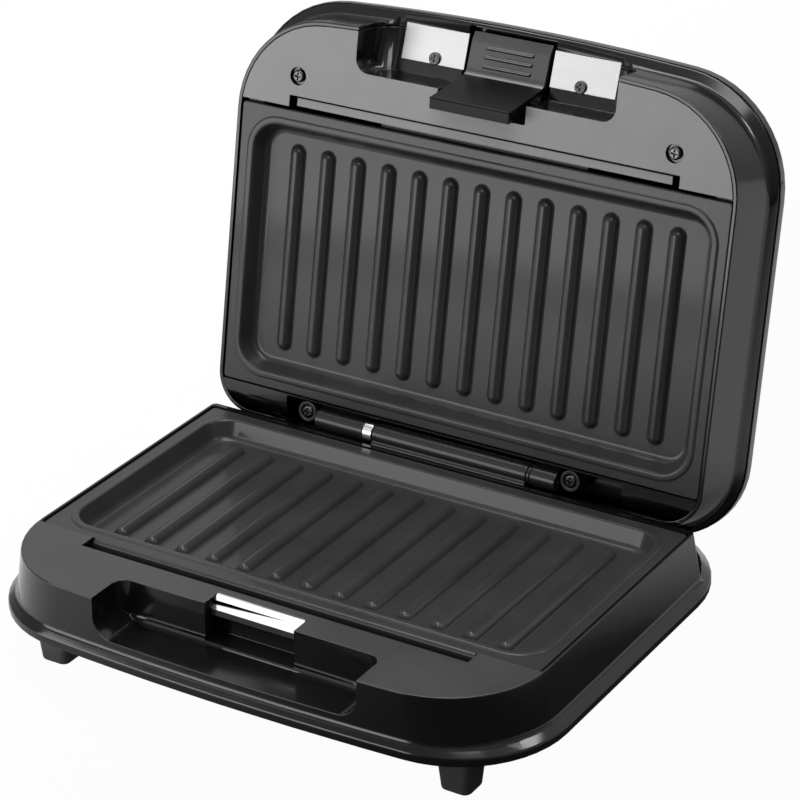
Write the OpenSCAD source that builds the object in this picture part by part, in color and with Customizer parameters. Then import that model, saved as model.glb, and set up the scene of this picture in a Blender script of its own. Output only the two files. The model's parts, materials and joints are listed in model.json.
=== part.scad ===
// Sandwich toaster with ribbed plates, lid standing open.
// Millimetres. X runs across, Y from front to back, Z up.
// Everything is drawn round the lower plate: its front edge is y = 0 and the rim
// where base and lid meet is z = 0. Lid pieces are drawn shut, then swung open.

/* [Cooking plates] */
// Width of each cooking plate
plate_w = 232; // [200:1:260]
// Depth of each cooking plate from front to back
plate_d = 124; // [110:1:140]
// Height of the plate's edge
plate_edge_h = 3.4; // [3:0.1:4.5]
// Depth of the cooking hollow below the rim
hollow_depth = 8.2; // [7:0.1:9]
// Distance from the plate's edge to the hollow
hollow_margin = 7.2; // [7:0.1:9]
// Distance that the hollow's wall leans in from the rim to the floor
hollow_lean = 3; // [1:0.1:4]
// Corner radius of the hollow at the rim
hollow_r = 12; // [9:0.5:18]
// Width of the ledge under a plate's edge
ledge_w = 6; // [5:0.1:6.4]
// Thickness of the casting
plate_wall = 2.4; // [2:0.1:3]
// Width of the bead round the hollow
bead_w = 3.4; // [2:0.1:4]
// Height of the bead above the flat rim
bead_h = 0.6; // [0.3:0.1:1]
// Number of grill ribs on each plate
rib_count = 13; // [9:2:13]
// Distance between two ribs
rib_pitch = 15.1; // [12:0.1:16]
// Width of a rib
rib_w = 6.4; // [4:0.1:7]
// Height of a rib above the hollow's floor
rib_h = 3.2; // [2:0.1:3.5]
// Length of a rib
rib_len = 91; // [70:0.5:96]
// Length of the drip lip on the lower plate's front edge
drip_len = 178; // [120:1:190]
// Distance that the drip lip reaches over the casing
drip_reach = 2.2; // [1.5:0.1:3]
// Gap between a plate and the base casing at each side
side_gap = 0.8; // [0.3:0.1:1]
// Gap between the upper plate and the land in front of it
land_gap = 1.5; // [0.3:0.1:2]
// Distance that the channel in the lid's land reaches in front of the plate
channel_d = 6.5; // [5:0.1:7]
// Depth of that channel
channel_h = 5; // [2:0.1:6]
// Length of the rail that stands in the channel
rail_len = 177.8; // [120:0.2:190]
// Width of the rail
rail_w = 3.7; // [2:0.1:4]
// Gap between each end of the rail and the channel's end
rail_end_gap = 3.3; // [1:0.1:5]
// Distance of the rail's face behind the land
rail_drop = 0.8; // [0.2:0.1:2]

/* [Casings] */
// Distance from the plates' front edge to the front of the casing
front_reach = 42.6; // [38:0.1:48]
// Radius of the slight bow of the front
bow_r = 1300; // [900:50:2500]
// Plan radius of the front corners at the rim
corner_r = 43; // [36:0.5:50]
// Thickness of the casing walls
wall_t = 1.8; // [1.5:0.1:2.2]
// Height of the casing wall from the rim to the flange
wall_h = 20.4; // [19:0.1:23]
// Distance that the side walls lean out over their height
side_draft = 4.1; // [2:0.1:5]
// Distance that the flange reaches out at the sides
flange_side = 4.1; // [3:0.1:6]
// Distance that the flange falls from the wall to its edge
flange_drop = 3.3; // [2.5:0.1:4.5]
// Height of the flange's outer band
band_h = 3.5; // [2.5:0.1:5]
// Radius of the hollow edge between wall and flange
crease_r = 3; // [1:0.5:4]
// Radius of the flange's outer edge
edge_r = 1.5; // [0.5:0.1:2]
// Radius of the rim's outer edge
rim_r = 0.6; // [0.3:0.1:0.8]
// Gap between base and lid when shut
shut_gap = 0.6; // [0.4:0.1:1]
// Distance that the base flange reaches out in front
base_flange_front = 2.6; // [2:0.1:6]
// Distance that the lid flange reaches out in front
lid_flange_front = 5.2; // [3:0.1:6]
// Distance from the plates' back edge to the base's rear wall
base_back = 3; // [2.6:0.1:4]
// Depth of the rear deck behind the rear wall
deck_d = 38; // [34:0.5:44]
// Plan radius of the base's rear corners
deck_corner_r = 50; // [40:1:56]
// Distance from the plates' back edge to the lid's rear rim
lid_back = 14; // [13:0.1:15]
// Plan radius of the lid's rear corners
lid_rear_r = 17.5; // [15:0.5:19]
// Height of the cover on top of the lid
cover_h = 4.6; // [4:0.1:6]
// Thickness of the cover
cover_t = 1.6; // [1.2:0.1:2]

/* [Handle pockets and latch] */
// Width of the pocket for the fingers
pocket_w = 122; // [100:1:130]
// Distance from the plates' front edge to the pocket's back wall
pocket_y = 22; // [20:0.1:24]
// Depth of the pocket in the base
base_pocket_depth = 17; // [15:0.1:17.5]
// Depth of the pocket in the lid at its back wall
lid_pocket_depth = 18.6; // [17.5:0.1:18.8]
// Slope of the lid pocket's floor, deeper towards the front
pocket_tilt = 9.6; // [4:0.1:10]
// Corner radius at the back of the pockets
pocket_r = 6; // [4:0.5:9]
// Corner radius of the pockets' openings in the front
mouth_r = 9; // [5:0.5:12]
// Radius between the base pocket's floor and its back wall
floor_r = 3; // [1:0.5:5]
// Width of the latch
latch_w = 37.2; // [30:0.2:44]
// Gap on each side of the latch
latch_gap = 2.2; // [1.5:0.1:3]
// Thickness of the latch
latch_t = 2.2; // [1.8:0.1:2.6]
// Radius of the latch pin
latch_pin_r = 1; // [0.8:0.1:1.3]
// Length of the steel plates in the lid's pocket
trim_len = 30.4; // [24:0.2:34]
// Depth of the steel plates from front to back
trim_d = 15.2; // [12:0.1:16]
// Thickness of the bright steel plates
trim_t = 0.8; // [0.6:0.1:1]

/* [Hinge] */
// Distance from the plates' back edge to the hinge axis
hinge_back = 8.2; // [8:0.1:9]
// Height of the hinge axis above the rim
hinge_up = 2.9; // [2.6:0.1:3.2]
// Angle at which the lid stands open
open_angle = 100.25; // [95:0.25:101]
// Radius of the hinge barrels
barrel_r = 4.5; // [4:0.1:4.6]
// Radius of the hinge pin
pin_r = 1.5; // [1.2:0.1:2]
// Radius of the strip behind the lid's plate
strip_r = 7.3; // [5:0.1:7.6]
// Half width of the opening for the hinge in the lid
hinge_bay = 82; // [78:1:90]
// Height of the roof over the hinge, above the lid's rim
hinge_roof = 11.4; // [10.5:0.1:12]

/* [Feet and tray] */
// Height of the feet
foot_h = 19.8; // [16:0.1:24]
// Width of a foot at the top
foot_top = 16.4; // [14:0.1:17]
// Width of a foot at the bottom
foot_bottom = 13; // [11:0.1:16]
// Distance from the casing's sides to the middle of a foot
foot_inset = 32.2; // [29:0.2:34]
// Depth of the tray under the base
tray_depth = 12; // [9:0.5:14]
// Thickness of the tray
tray_t = 2; // [1.6:0.1:2.6]

/* [Heating] */
// Radius of a heating rod
rod_r = 3.2; // [2.5:0.1:3.5]
// Distance between the two runs of a heating rod
rod_span = 54; // [44:1:64]
// Thickness of the reflector sheet
sheet_t = 0.8; // [0.5:0.1:1.2]

/* [Hidden] */
$fn = 48;
eps = 0.01;
fit = 0.3;              // gap between a piece and what it drops into
run = 0.05;             // gap between a pin and its bore
round_steps = 12;       // steps on a quarter turn of a casing corner
bow_steps = 5;          // steps on half of the bowed front

hinge_y = plate_d + hinge_back;
rim_x = plate_w / 2 + wall_t + 0.4;
foot_x = rim_x + side_draft + flange_side - foot_inset;
flange_z = wall_h + flange_drop;
band_z = flange_z + band_h;
base_h = band_z + foot_h;          // rim above the table
base_rear = plate_d + base_back;
deck_rear = base_rear + deck_d;
pan_z = hollow_depth + plate_wall;  // underside of a plate's hollow
lid_top = flange_z + 1.6;           // top of the lid's shell, above its rim
cut_reach = front_reach + 17.4;     // reach of the pockets' cuts, past the front wall
base_front = -front_reach - 0.4 - base_flange_front;
open_rear = hinge_y + cos(open_angle) * (3 - front_reach - 0.4 - lid_flange_front - hinge_y)
            + sin(open_angle) * (shut_gap + lid_top + cover_h - hinge_up);
origin_y = (base_front + open_rear) / 2;   // middle of the open toaster, front to back

// Screws: [x, y] of each group
land_screws = [[-88.8, -15.2], [88.8, -15.2]];
land_screw_len = 11;
plate_screw_grip = 4;               // thread of a screw in a plate's post
foot_screw_grip = 7;                // thread of a foot's screw above the tray
trim_screw_len = 5;
hinge_screw_len = 17;
trim_x = latch_w / 2 + latch_gap + trim_len / 2 - 0.5;   // middle of a trim plate
trim_screw_x = 34.6;
trim_screw_y = -29.7;
hinge_screw_xs = [-71.5, 58];
bay_y = plate_d + 1.2;               // front of the opening for the hinge
hinge_screw_y = plate_d + 6;
foot_front_y = -20;
foot_rear_y = plate_d + 11;
feet = [[-foot_x, foot_front_y], [foot_x, foot_front_y],
        [-foot_x, foot_rear_y], [foot_x, foot_rear_y]];
post_x = plate_w / 2 - 18;
posts = [for (x = [-post_x, post_x], y = [22, plate_d - 22]) [x, y]];
foot_seat = 4;                      // plastic under a foot screw's head
post_len = 5.4;                     // plate posts, below the casting
lug_z = pan_z + post_len;
lug_t = 2.4;
sheet_z = pan_z + 2 * rod_r + 1.8;
sheet_lip = sheet_t + 1.4;
stand_x = 60;                       // posts that carry the reflector
head_r = 2.7;
head_h = 1.8;

// Latch, in the shut lid's frame above the base's rim
pivot = [-20.4, 19.4];
arm_top = [-26.7, 18.9];
thumb_end = [-40.7, 22];
curl_end = [-43.9, 23.9];
arm_end = [-20.2, -9.6];
hook_tip = -15.2;
hook_t = 2.2;
lid_slot_rear = -14.2;

// Catch on the base: ramp, face, undercut, as [y, z]
catch_w = latch_w + 2 * latch_gap;
catch_line = [[-13.4, 0], [-17.8, -4.4], [-18.1, -6.8]];
undercut_y = -12.9;

// Hinge, along x
left_barrel = [-66, -42];
bush_span = [-41.7, -37.2];
base_barrel = [-36.9, 38.3];
washer_span = [38.6, 40];
right_barrel = [40.3, 52];
web_bottom = -12;
barrel_screw_xs = [-25, 25];
barrel_screw_z = -8.5;

black = [0.09, 0.09, 0.09];
satin = [0.22, 0.22, 0.22];
coating = [0.28, 0.28, 0.28];
steel = [0.8, 0.8, 0.8];
zinc = [0.6, 0.6, 0.6];
dark_steel = [0.12, 0.12, 0.12];

// ---- places -------------------------------------------------------------

// Base pieces: the feet stand on z = 0.
module on_base() {
    translate([0, -origin_y, base_h]) children();
}

// Lid pieces: swung back about the hinge from the shut place.
module on_lid() {
    on_base()
        translate([0, hinge_y, hinge_up])
            rotate([-open_angle, 0, 0])
                translate([0, -hinge_y, -hinge_up])
                    children();
}

// Pieces measured from the lid's own rim.
module in_lid() {
    on_lid() translate([0, 0, shut_gap]) children();
}

// ---- outlines -----------------------------------------------------------

function arc(c, r, a0, a1, n) =
    [for (i = [0:n]) let (a = a0 + (a1 - a0) * i / n) c + r * [cos(a), sin(a)]];

// Right half of a casing outline, from the middle of the bowed front round to
// the rear. s = [half width, front y, rear y, front corner, rear corner].
function half_outline(s) =
    let (bow_c = [0, s[1] + bow_r],
         corner_x = s[0] - s[3],
         corner_y = bow_c[1] - sqrt(pow(bow_r - s[3], 2) - pow(corner_x, 2)),
         turn = atan2(corner_y - bow_c[1], corner_x))
    concat(arc(bow_c, bow_r, -90, turn, bow_steps),
           [for (p = arc([corner_x, corner_y], s[3], turn, 0, round_steps)) if (p[0] > corner_x + 0.05) p],
           arc([s[0] - s[4], s[2] - s[4]], s[4], 0, 90, round_steps));

function outline(s) =
    let (h = half_outline(s))
    concat(h, [for (i = [len(h) - 1:-1:1]) [-h[i][0], h[i][1]]]);

// The same outline drawn in by d.
function inset(s, d) = [s[0] - d, s[1] + d, s[2] - d, s[3] - d, max(s[4] - d, 0.8)];

function mix(a, b, t) = a + (b - a) * t;

// Levels of a wall whose foot flares into a flange, from the rim at z = 0:
// rim and foot are the wall's outlines, up = 1 for the lid and -1 for the base.
crease_turn = 90 - atan(flange_drop / flange_side);
function wall_levels(rim, foot, up) =
    let (start = wall_h - crease_r * tan(crease_turn / 2),
         rounding = [for (a = [90:-45:0]) [up * rim_r * (1 - sin(a)), inset(rim, rim_r * (1 - cos(a)))]],
         flare = [for (i = [0:4]) let (a = crease_turn * i / 4, z = start + crease_r * sin(a))
             [up * z, inset(mix(rim, foot, min(z / wall_h, 1)), -crease_r * (1 - cos(a)))]])
    concat(rounding, flare);

// Levels of the flange from its slope at the crease over its rounded edge.
edge_cut = edge_r * tan(crease_turn / 2);
edge_bulge = edge_r / cos(crease_turn / 2) - edge_r;
function flange_levels(crease, edge, up) =
    let (part = edge_cut / norm([flange_side, flange_drop]))
    [[up * (flange_z - flange_drop * part), mix(edge, crease, part)],
     [up * (flange_z + edge_bulge * sin(crease_turn / 2)), inset(edge, edge_bulge * cos(crease_turn / 2))],
     [up * (flange_z + edge_cut), edge]];

function reversed(l) = [for (i = [len(l) - 1:-1:0]) l[i]];

// Moulded form through outlines at rising heights: levels = [[z, outline], ...].
module loft(levels) {
    n = len(outline(levels[0][1]));
    top = len(levels) - 1;
    polyhedron(
        points = [for (l = levels) for (p = outline(l[1])) [p[0], p[1], l[0]]],
        faces = concat(
            [[for (i = [0:n - 1]) i]],
            [[for (i = [n - 1:-1:0]) top * n + i]],
            [for (k = [0:top - 1], i = [0:n - 1])
                [k * n + i, (k + 1) * n + i, (k + 1) * n + (i + 1) % n]],
            [for (k = [0:top - 1], i = [0:n - 1])
                [k * n + i, (k + 1) * n + (i + 1) % n, k * n + (i + 1) % n]]));
}

// Rounded rectangle, centred on x, from y = 0 back.
module round_rect(w, d, r) {
    translate([-w / 2 + r, 0]) square([w - 2 * r, d]);
    translate([-w / 2, r]) square([w, d - 2 * r]);
    for (x = [-w / 2 + r, w / 2 - r], y = [r, d - r])
        translate([x, y]) circle(r);
}

module slab(w, d, h, r) {
    linear_extrude(h) round_rect(w, d, r);
}

// Extrudes a [y, z] outline along x, from x0 to x1.
module along_x(x0, x1) {
    translate([x0, 0, 0])
        rotate([90, 0, 90])
            linear_extrude(x1 - x0)
                children();
}

module rod_x(x0, x1, y, z, r) {
    translate([x0, y, z]) rotate([0, 90, 0]) cylinder(r = r, h = x1 - x0);
}

// Cross-head screw with its head's top at z = 0, pointing down.
module screw(len, r = 1.4) {
    difference() {
        union() {
            translate([0, 0, -head_h]) cylinder(r = head_r, h = head_h);
            translate([0, 0, -head_h - len]) cylinder(r = r, h = len + eps);
        }
        for (a = [0, 90])
            rotate([0, 0, a])
                translate([-1.6, -0.35, -1]) cube([3.2, 0.7, 2]);
    }
}

// ---- cooking plates -----------------------------------------------------

// One casting, cooking face up, rim at z = 0.
module plate_casting() {
    hollow_w = plate_w - 2 * hollow_margin;
    hollow_d = plate_d - 2 * hollow_margin;
    pan_margin = ledge_w + 0.6;
    floor_z = -hollow_depth;
    difference() {
        union() {
            translate([0, 0, -plate_edge_h])
                slab(plate_w, plate_d, plate_edge_h - bead_h, 1.5);
            translate([0, hollow_margin - bead_w, -plate_edge_h])
                slab(hollow_w + 2 * bead_w, hollow_d + 2 * bead_w, plate_edge_h, hollow_r + bead_w);
            translate([0, pan_margin, -pan_z])
                slab(plate_w - 2 * pan_margin, plate_d - 2 * pan_margin, pan_z - bead_h, hollow_r);
            for (p = posts)
                translate([p[0], p[1], -lug_z]) cylinder(r = 4, h = post_len + 1);
            for (x = [-stand_x, stand_x])
                translate([x, plate_d / 2, -sheet_z]) cylinder(r = 3.5, h = sheet_z - pan_z + 1);
        }
        hull() {
            translate([0, hollow_margin + hollow_lean, floor_z])
                slab(hollow_w - 2 * hollow_lean, hollow_d - 2 * hollow_lean, eps, hollow_r - hollow_lean);
            translate([0, hollow_margin, 0]) slab(hollow_w, hollow_d, 1, hollow_r);
        }
        for (p = posts)
            translate([p[0], p[1], -lug_z - eps]) cylinder(r = 1.4 + run, h = post_len);
        for (x = [-stand_x, stand_x])
            translate([x, plate_d / 2, -sheet_z - eps]) cylinder(r = 1.4 + run, h = 7);
    }
    first_rib = -(rib_count - 1) / 2 * rib_pitch;
    rib_r = rib_w / 2;
    rib_z = floor_z + rib_h - rib_r;
    rib_front = (plate_d - rib_len) / 2;
    intersection() {
        translate([-plate_w / 2, 0, floor_z - 1]) cube([plate_w, plate_d, rib_h + 2]);
        for (i = [0:rib_count - 1])
            translate([first_rib + i * rib_pitch, rib_front, 0]) {
                translate([0, rib_r, rib_z])
                    rotate([-90, 0, 0]) cylinder(r = rib_r, h = rib_len - rib_w);
                for (y = [rib_r, rib_len - rib_r])
                    translate([0, y, rib_z]) sphere(r = rib_r);
            }
    }
}

module lower_plate() {
    color(coating) on_base() {
        plate_casting();
        along_x(-drip_len / 2, drip_len / 2)
            polygon([[1.6, -bead_h], [0, -bead_h], [-drip_reach, -2.6],
                     [-drip_reach, -plate_edge_h], [1.6, -plate_edge_h]]);
    }
}

module upper_plate() {
    color(coating) in_lid() mirror([0, 0, 1]) plate_casting();
}

// ---- base ---------------------------------------------------------------

rim_front = -front_reach;
base_rim = [rim_x, rim_front, base_rear, corner_r, 2.5];
base_foot = [rim_x + side_draft, rim_front - 0.4, base_rear, corner_r + 2, 3];
base_crease = [rim_x + side_draft, rim_front - 0.4, deck_rear - flange_side, corner_r + 2,
               deck_corner_r - flange_side];
base_edge = [rim_x + side_draft + flange_side, base_front, deck_rear,
             corner_r + 4, deck_corner_r];

module base_solid() {
    loft(reversed(wall_levels(base_rim, base_foot, -1)));
    loft(concat([[-band_z, inset(base_edge, 0.5)], [-band_z + 0.5, base_edge]],
                reversed(flange_levels(base_crease, base_edge, -1)), [[-wall_h, base_crease]]));
}

module base_cavity() {
    loft([[-wall_h - wall_t - 2, inset(base_foot, wall_t)], [-wall_h, inset(base_foot, wall_t)],
          [-wall_t, inset(base_rim, wall_t)]]);
    loft([[-band_z - 1, inset(base_edge, wall_t)], [-band_z + tray_t + 0.2, inset(base_edge, wall_t)],
          [-wall_h - wall_t, inset(base_crease, wall_t)]]);
}

// Finger pocket of the base, open to the front, its rim at z = 0 and its floor below.
module base_pocket_cut() {
    depth = base_pocket_depth;
    intersection() {
        translate([0, -pocket_y, -depth])
            mirror([0, 1, 0])
                slab(pocket_w, cut_reach, depth + 1, pocket_r);
        translate([0, -pocket_y + 1, -depth])
            rotate([90, 0, 0])
                slab(pocket_w, depth + mouth_r + 2, cut_reach + 2, mouth_r);
        along_x(-pocket_w / 2 - 1, pocket_w / 2 + 1) {
            translate([-pocket_y - floor_r, floor_r - depth]) circle(floor_r);
            translate([-pocket_y - cut_reach - 2, -depth]) square([cut_reach + 2 - floor_r, depth + 2]);
            translate([-pocket_y - floor_r - 1, floor_r - depth]) square([floor_r + 1, depth + 2]);
        }
    }
}

// Turns what lies on the lid pocket's floor into its slope.
module on_pocket_floor() {
    translate([0, -pocket_y, lid_pocket_depth]) rotate([-pocket_tilt, 0, 0]) children();
}

// Finger pocket of the lid, from its rim up to the sloping floor.
module lid_pocket_cut() {
    intersection() {
        translate([0, -pocket_y, -1]) mirror([0, 1, 0]) slab(pocket_w, cut_reach, lid_top, pocket_r);
        on_pocket_floor() translate([0, -cut_reach - 2, 0]) rotate([-90, 0, 0])
            slab(pocket_w, lid_top + mouth_r, cut_reach + 10, mouth_r);
    }
}

module catch_cut() {
    t = trim_t;
    along_x(-catch_w / 2, catch_w / 2)
        polygon([[-pocket_y - 1, 1], [catch_line[0][0] + t, 1], [catch_line[0][0] + t, 0],
                 [catch_line[1][0] + t, catch_line[1][1]], [catch_line[2][0] + t, catch_line[2][1]],
                 [undercut_y, catch_line[2][1]], [undercut_y, -base_pocket_depth],
                 [-pocket_y - 1, -base_pocket_depth]]);
}

module lower_casing() {
    seat_w = plate_w + 2 * side_gap;
    seat_d = plate_d + 2 * fit;
    drip_w = drip_len + 2;
    color(black) on_base() difference() {
        union() {
            difference() {
                base_solid();
                base_cavity();
            }
            intersection() {
                base_solid();
                union() {
                    // ledge under the plate's edge
                    translate([0, -6, -plate_edge_h - 2.4])
                        slab(plate_w + 20, base_rear + 8, 2.4, 1);
                    // floor of the drip channel in front of the plate
                    translate([-drip_w / 2 - 2, -10, -plate_edge_h - 2.4]) cube([drip_w + 4, 12, plate_edge_h + 2.4]);
                    // walls of the pocket and of the catch
                    translate([0, wall_t - pocket_y, -base_pocket_depth - wall_t])
                        mirror([0, 1, 0])
                            slab(pocket_w + 2 * wall_t, cut_reach, base_pocket_depth + wall_t, pocket_r + wall_t);
                    translate([-catch_w / 2 - wall_t, -pocket_y - 2, -base_pocket_depth - wall_t])
                        cube([catch_w + 2 * wall_t, pocket_y + undercut_y + wall_t + 2.5,
                              base_pocket_depth + wall_t]);
                    // lugs that carry the plate's posts
                    for (p = posts)
                        translate([p[0] - (p[0] < 0 ? 30 : 7), p[1] - 6, -lug_z - lug_t])
                            cube([37, 12, lug_t]);
                    // bosses for the front feet's screws
                    for (x = [-foot_x, foot_x])
                        translate([x, foot_front_y, -band_z + tray_t])
                            cylinder(r = 4, h = band_z - tray_t - 1);
                    // bosses for the rear feet's screws
                    for (x = [-foot_x, foot_x])
                        translate([x, foot_rear_y, -band_z + tray_t])
                            cylinder(r = 4, h = band_z - tray_t - wall_h - 1);
                }
            }
        }
        // seat of the plate and the opening under it
        translate([0, -fit, -plate_edge_h]) slab(seat_w, seat_d, plate_edge_h + 1, 1.5);
        translate([0, ledge_w, -pan_z])
            slab(plate_w - 2 * ledge_w, plate_d - 2 * ledge_w, pan_z + 1, hollow_r);
        translate([-drip_w / 2, -8.4, -plate_edge_h]) cube([drip_w, 9, plate_edge_h + 1]);
        base_pocket_cut();
        catch_cut();
        for (p = posts)
            translate([p[0], p[1], -lug_z - lug_t - 1]) cylinder(r = 1.6, h = lug_t + 2);
        for (f = feet)
            translate([f[0], f[1], -band_z]) cylinder(r = 1.4 + run, h = tray_t + 9);
        for (x = barrel_screw_xs)
            translate([x, base_rear - 4, barrel_screw_z]) rotate([-90, 0, 0]) cylinder(r = 1.6, h = 8);
    }
}

tray_pan_w = 2 * (foot_x - foot_top / 2) - 4;
tray_pan_front = 4;
tray_pan_rear = deck_rear - 13;
tray_pan_r = 14;                    // plan radius of the tray's corners
tray_rim = inset(base_edge, wall_t + fit);
gland_x = -(tray_pan_w / 2 - tray_pan_r - 10);
gland_r = 4.8;
gland_z = -band_z - gland_r - 0.1;
gland_bore_r = 3.3;

module bottom_tray() {
    slots = 9;
    color(black) on_base() difference() {
        union() {
            loft([[-band_z, tray_rim], [-band_z + tray_t, tray_rim]]);
            translate([0, tray_pan_front, -band_z - tray_depth])
                slab(tray_pan_w, tray_pan_rear - tray_pan_front, tray_depth + tray_t, tray_pan_r);
        }
        translate([0, tray_pan_front + tray_t, -band_z - tray_depth + tray_t])
            slab(tray_pan_w - 2 * tray_t, tray_pan_rear - tray_pan_front - 2 * tray_t, tray_depth + tray_t,
                 tray_pan_r - tray_t);
        for (i = [0:slots - 1])
            translate([(i - (slots - 1) / 2) * 9, 56, -band_z - tray_depth - 1])
                slab(3, 40, tray_t + 2, 1.4);
        for (f = feet)
            translate([f[0], f[1], -band_z - 1]) cylinder(r = 1.6, h = tray_t + 2);
        translate([gland_x, tray_pan_rear - tray_t - 1, gland_z])
            rotate([-90, 0, 0]) cylinder(r = gland_bore_r + 0.75, h = tray_t + 2);
    }
}

module foot(f) {
    color(satin) on_base() translate([f[0], f[1], -base_h]) difference() {
        hull() {
            translate([0, -foot_bottom / 2, 0]) slab(foot_bottom, foot_bottom, 1, 3, $fn = 24);
            translate([0, -foot_top / 2, foot_h - 1]) slab(foot_top, foot_top, 1, 3.6, $fn = 24);
        }
        translate([0, 0, -1]) cylinder(r = 3.4, h = foot_h - foot_seat + 1);
        cylinder(r = 1.6, h = foot_h + 1);
    }
}

module front_left_foot() { foot(feet[0]); }
module front_right_foot() { foot(feet[1]); }
module rear_left_foot() { foot(feet[2]); }
module rear_right_foot() { foot(feet[3]); }

module foot_screws() {
    color(zinc) on_base() for (f = feet)
        translate([f[0], f[1], -band_z - foot_seat])
            rotate([180, 0, 0]) translate([0, 0, head_h]) screw(foot_seat + tray_t + foot_screw_grip);
}

module lower_plate_screws() {
    color(zinc) on_base() for (p = posts)
        translate([p[0], p[1], -lug_z - lug_t]) rotate([180, 0, 0]) translate([0, 0, head_h]) screw(lug_t + plate_screw_grip);
}

// Hairpin heating rod under a plate, cooking side up, its ends at the right.
module heating_rod() {
    bend_x = -(plate_w / 2 - 58);
    end_x = plate_w / 2 - 30;
    z = -pan_z - rod_r - run;
    y0 = (plate_d - rod_span) / 2;
    for (y = [y0, y0 + rod_span]) {
        rod_x(bend_x, end_x, y, z, rod_r);
        rod_x(end_x - eps, end_x + 9, y, z, 1.5);
    }
    translate([bend_x, plate_d / 2, z])
        rotate([0, 0, 90])
            rotate_extrude(angle = 180)
                translate([rod_span / 2, 0]) circle(rod_r);
}

module reflector_sheet() {
    w = plate_w - 68;
    d = plate_d - 30;
    translate([0, 15, -sheet_z - sheet_t]) difference() {
        slab(w, d, sheet_lip, 6);
        translate([0, sheet_t, sheet_t]) slab(w - 2 * sheet_t, d - 2 * sheet_t, sheet_lip, 5.2);
        for (x = [-stand_x, stand_x])
            translate([x, plate_d / 2 - 15, -1]) cylinder(r = 1.6, h = 3);
    }
}

module reflector_screw_pair() {
    for (x = [-stand_x, stand_x])
        translate([x, plate_d / 2, -sheet_z - sheet_t]) rotate([180, 0, 0])
            translate([0, 0, head_h]) screw(sheet_t + plate_screw_grip);
}

module thermostat_body() {
    translate([0, plate_d / 2, -pan_z - 7]) {
        cylinder(r = 7, h = 5);
        translate([0, 0, 5]) cylinder(r = 8, h = 2);
        for (x = [-6, 4]) translate([x, -9.5, 1]) cube([2, 19, 0.8]);
    }
}

module lower_heater() { color(zinc) on_base() heating_rod(); }
module lower_reflector() { color(steel) on_base() reflector_sheet(); }
module lower_reflector_screws() { color(zinc) on_base() reflector_screw_pair(); }
module lower_thermostat() { color(zinc) on_base() thermostat_body(); }

module catch_plate() {
    t = trim_t;
    color(steel) on_base() along_x(-catch_w / 2 + fit, catch_w / 2 - fit)
        polygon([catch_line[0], catch_line[1], catch_line[2],
                 [catch_line[2][0] + t, catch_line[2][1]], [catch_line[1][0] + t, catch_line[1][1]],
                 [catch_line[0][0] + t, 0]]);
}

module hinge_barrel() {
    color(black) on_base() difference() {
        union() {
            rod_x(base_barrel[0], base_barrel[1], hinge_y, hinge_up, barrel_r);
            along_x(base_barrel[0], base_barrel[1])
                polygon([[base_rear, web_bottom], [base_rear + 3, web_bottom],
                         [hinge_y + 3.2, hinge_up - 3], [hinge_y, hinge_up],
                         [hinge_y - 3, hinge_up], [base_rear, 0]]);
        }
        rod_x(base_barrel[0] - 1, base_barrel[1] + 1, hinge_y, hinge_up, pin_r + run);
        for (x = barrel_screw_xs)
            translate([x, base_rear - 1, barrel_screw_z]) rotate([-90, 0, 0]) cylinder(r = 1.4 + run, h = 3.4);
    }
}

module barrel_screws() {
    color(zinc) on_base() for (x = barrel_screw_xs)
        translate([x, base_rear - wall_t, barrel_screw_z])
            rotate([90, 0, 0]) translate([0, 0, head_h]) screw(wall_t + 2);
}

module terminal_block() {
    poles = 3;
    pole_w = 10;
    block_d = 12;
    block_h = 9;
    color([0.85, 0.83, 0.78]) on_base()
        translate([gland_x + 8, tray_pan_rear - 23, -band_z - tray_depth + tray_t]) difference() {
            cube([poles * pole_w, block_d, block_h]);
            for (i = [0:poles - 1]) translate([pole_w * (i + 0.5), 0, 0]) {
                translate([0, -1, block_h / 2]) rotate([-90, 0, 0]) cylinder(r = 1.6, h = block_d + 2);
                translate([0, block_d / 2, block_h / 2 + 0.5]) cylinder(r = 1.8, h = block_h);
            }
        }
}

module cord_gland() {
    color(black) on_base() translate([gland_x, tray_pan_rear, gland_z]) rotate([-90, 0, 0]) difference() {
        union() {
            cylinder(r = gland_r, h = 2);
            translate([0, 0, -tray_t - 1]) cylinder(r = gland_bore_r + 0.7, h = tray_t + 2);
            translate([0, 0, -tray_t - 1.8]) cylinder(r = gland_r - 0.1, h = 1.8);
        }
        translate([0, 0, -6]) cylinder(r = gland_bore_r, h = 12);
    }
}

// ---- lid ----------------------------------------------------------------

lid_rear = plate_d + lid_back;
lid_rim = [rim_x, rim_front, lid_rear, corner_r, lid_rear_r];
lid_crease = [rim_x + side_draft, rim_front - 0.4, lid_rear + 8.2, corner_r + 2, lid_rear_r + 14];
lid_edge = [rim_x + side_draft + flange_side - 0.8, rim_front - 0.4 - lid_flange_front + 0.6,
            lid_rear + 12, corner_r + 4, lid_rear_r + 19];
cover_edge = inset(lid_edge, -0.6);

module lid_outer() {
    loft(concat(wall_levels(lid_rim, lid_crease, 1), flange_levels(lid_crease, lid_edge, 1),
                [[lid_top, lid_edge]]));
}

module lid_inner() {
    loft([[-1, inset(lid_rim, wall_t)], [0, inset(lid_rim, wall_t)], [wall_h, inset(lid_crease, wall_t)],
          [lid_top - wall_t, inset(lid_crease, wall_t - 0.4)]]);
}

module hinge_bay_cut(side, y0) {
    translate([-hinge_bay - side, y0, -1]) cube([2 * (hinge_bay + side), 60, hinge_roof + 1]);
}

notch_front = -46;
notch_rear = -30;

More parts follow.
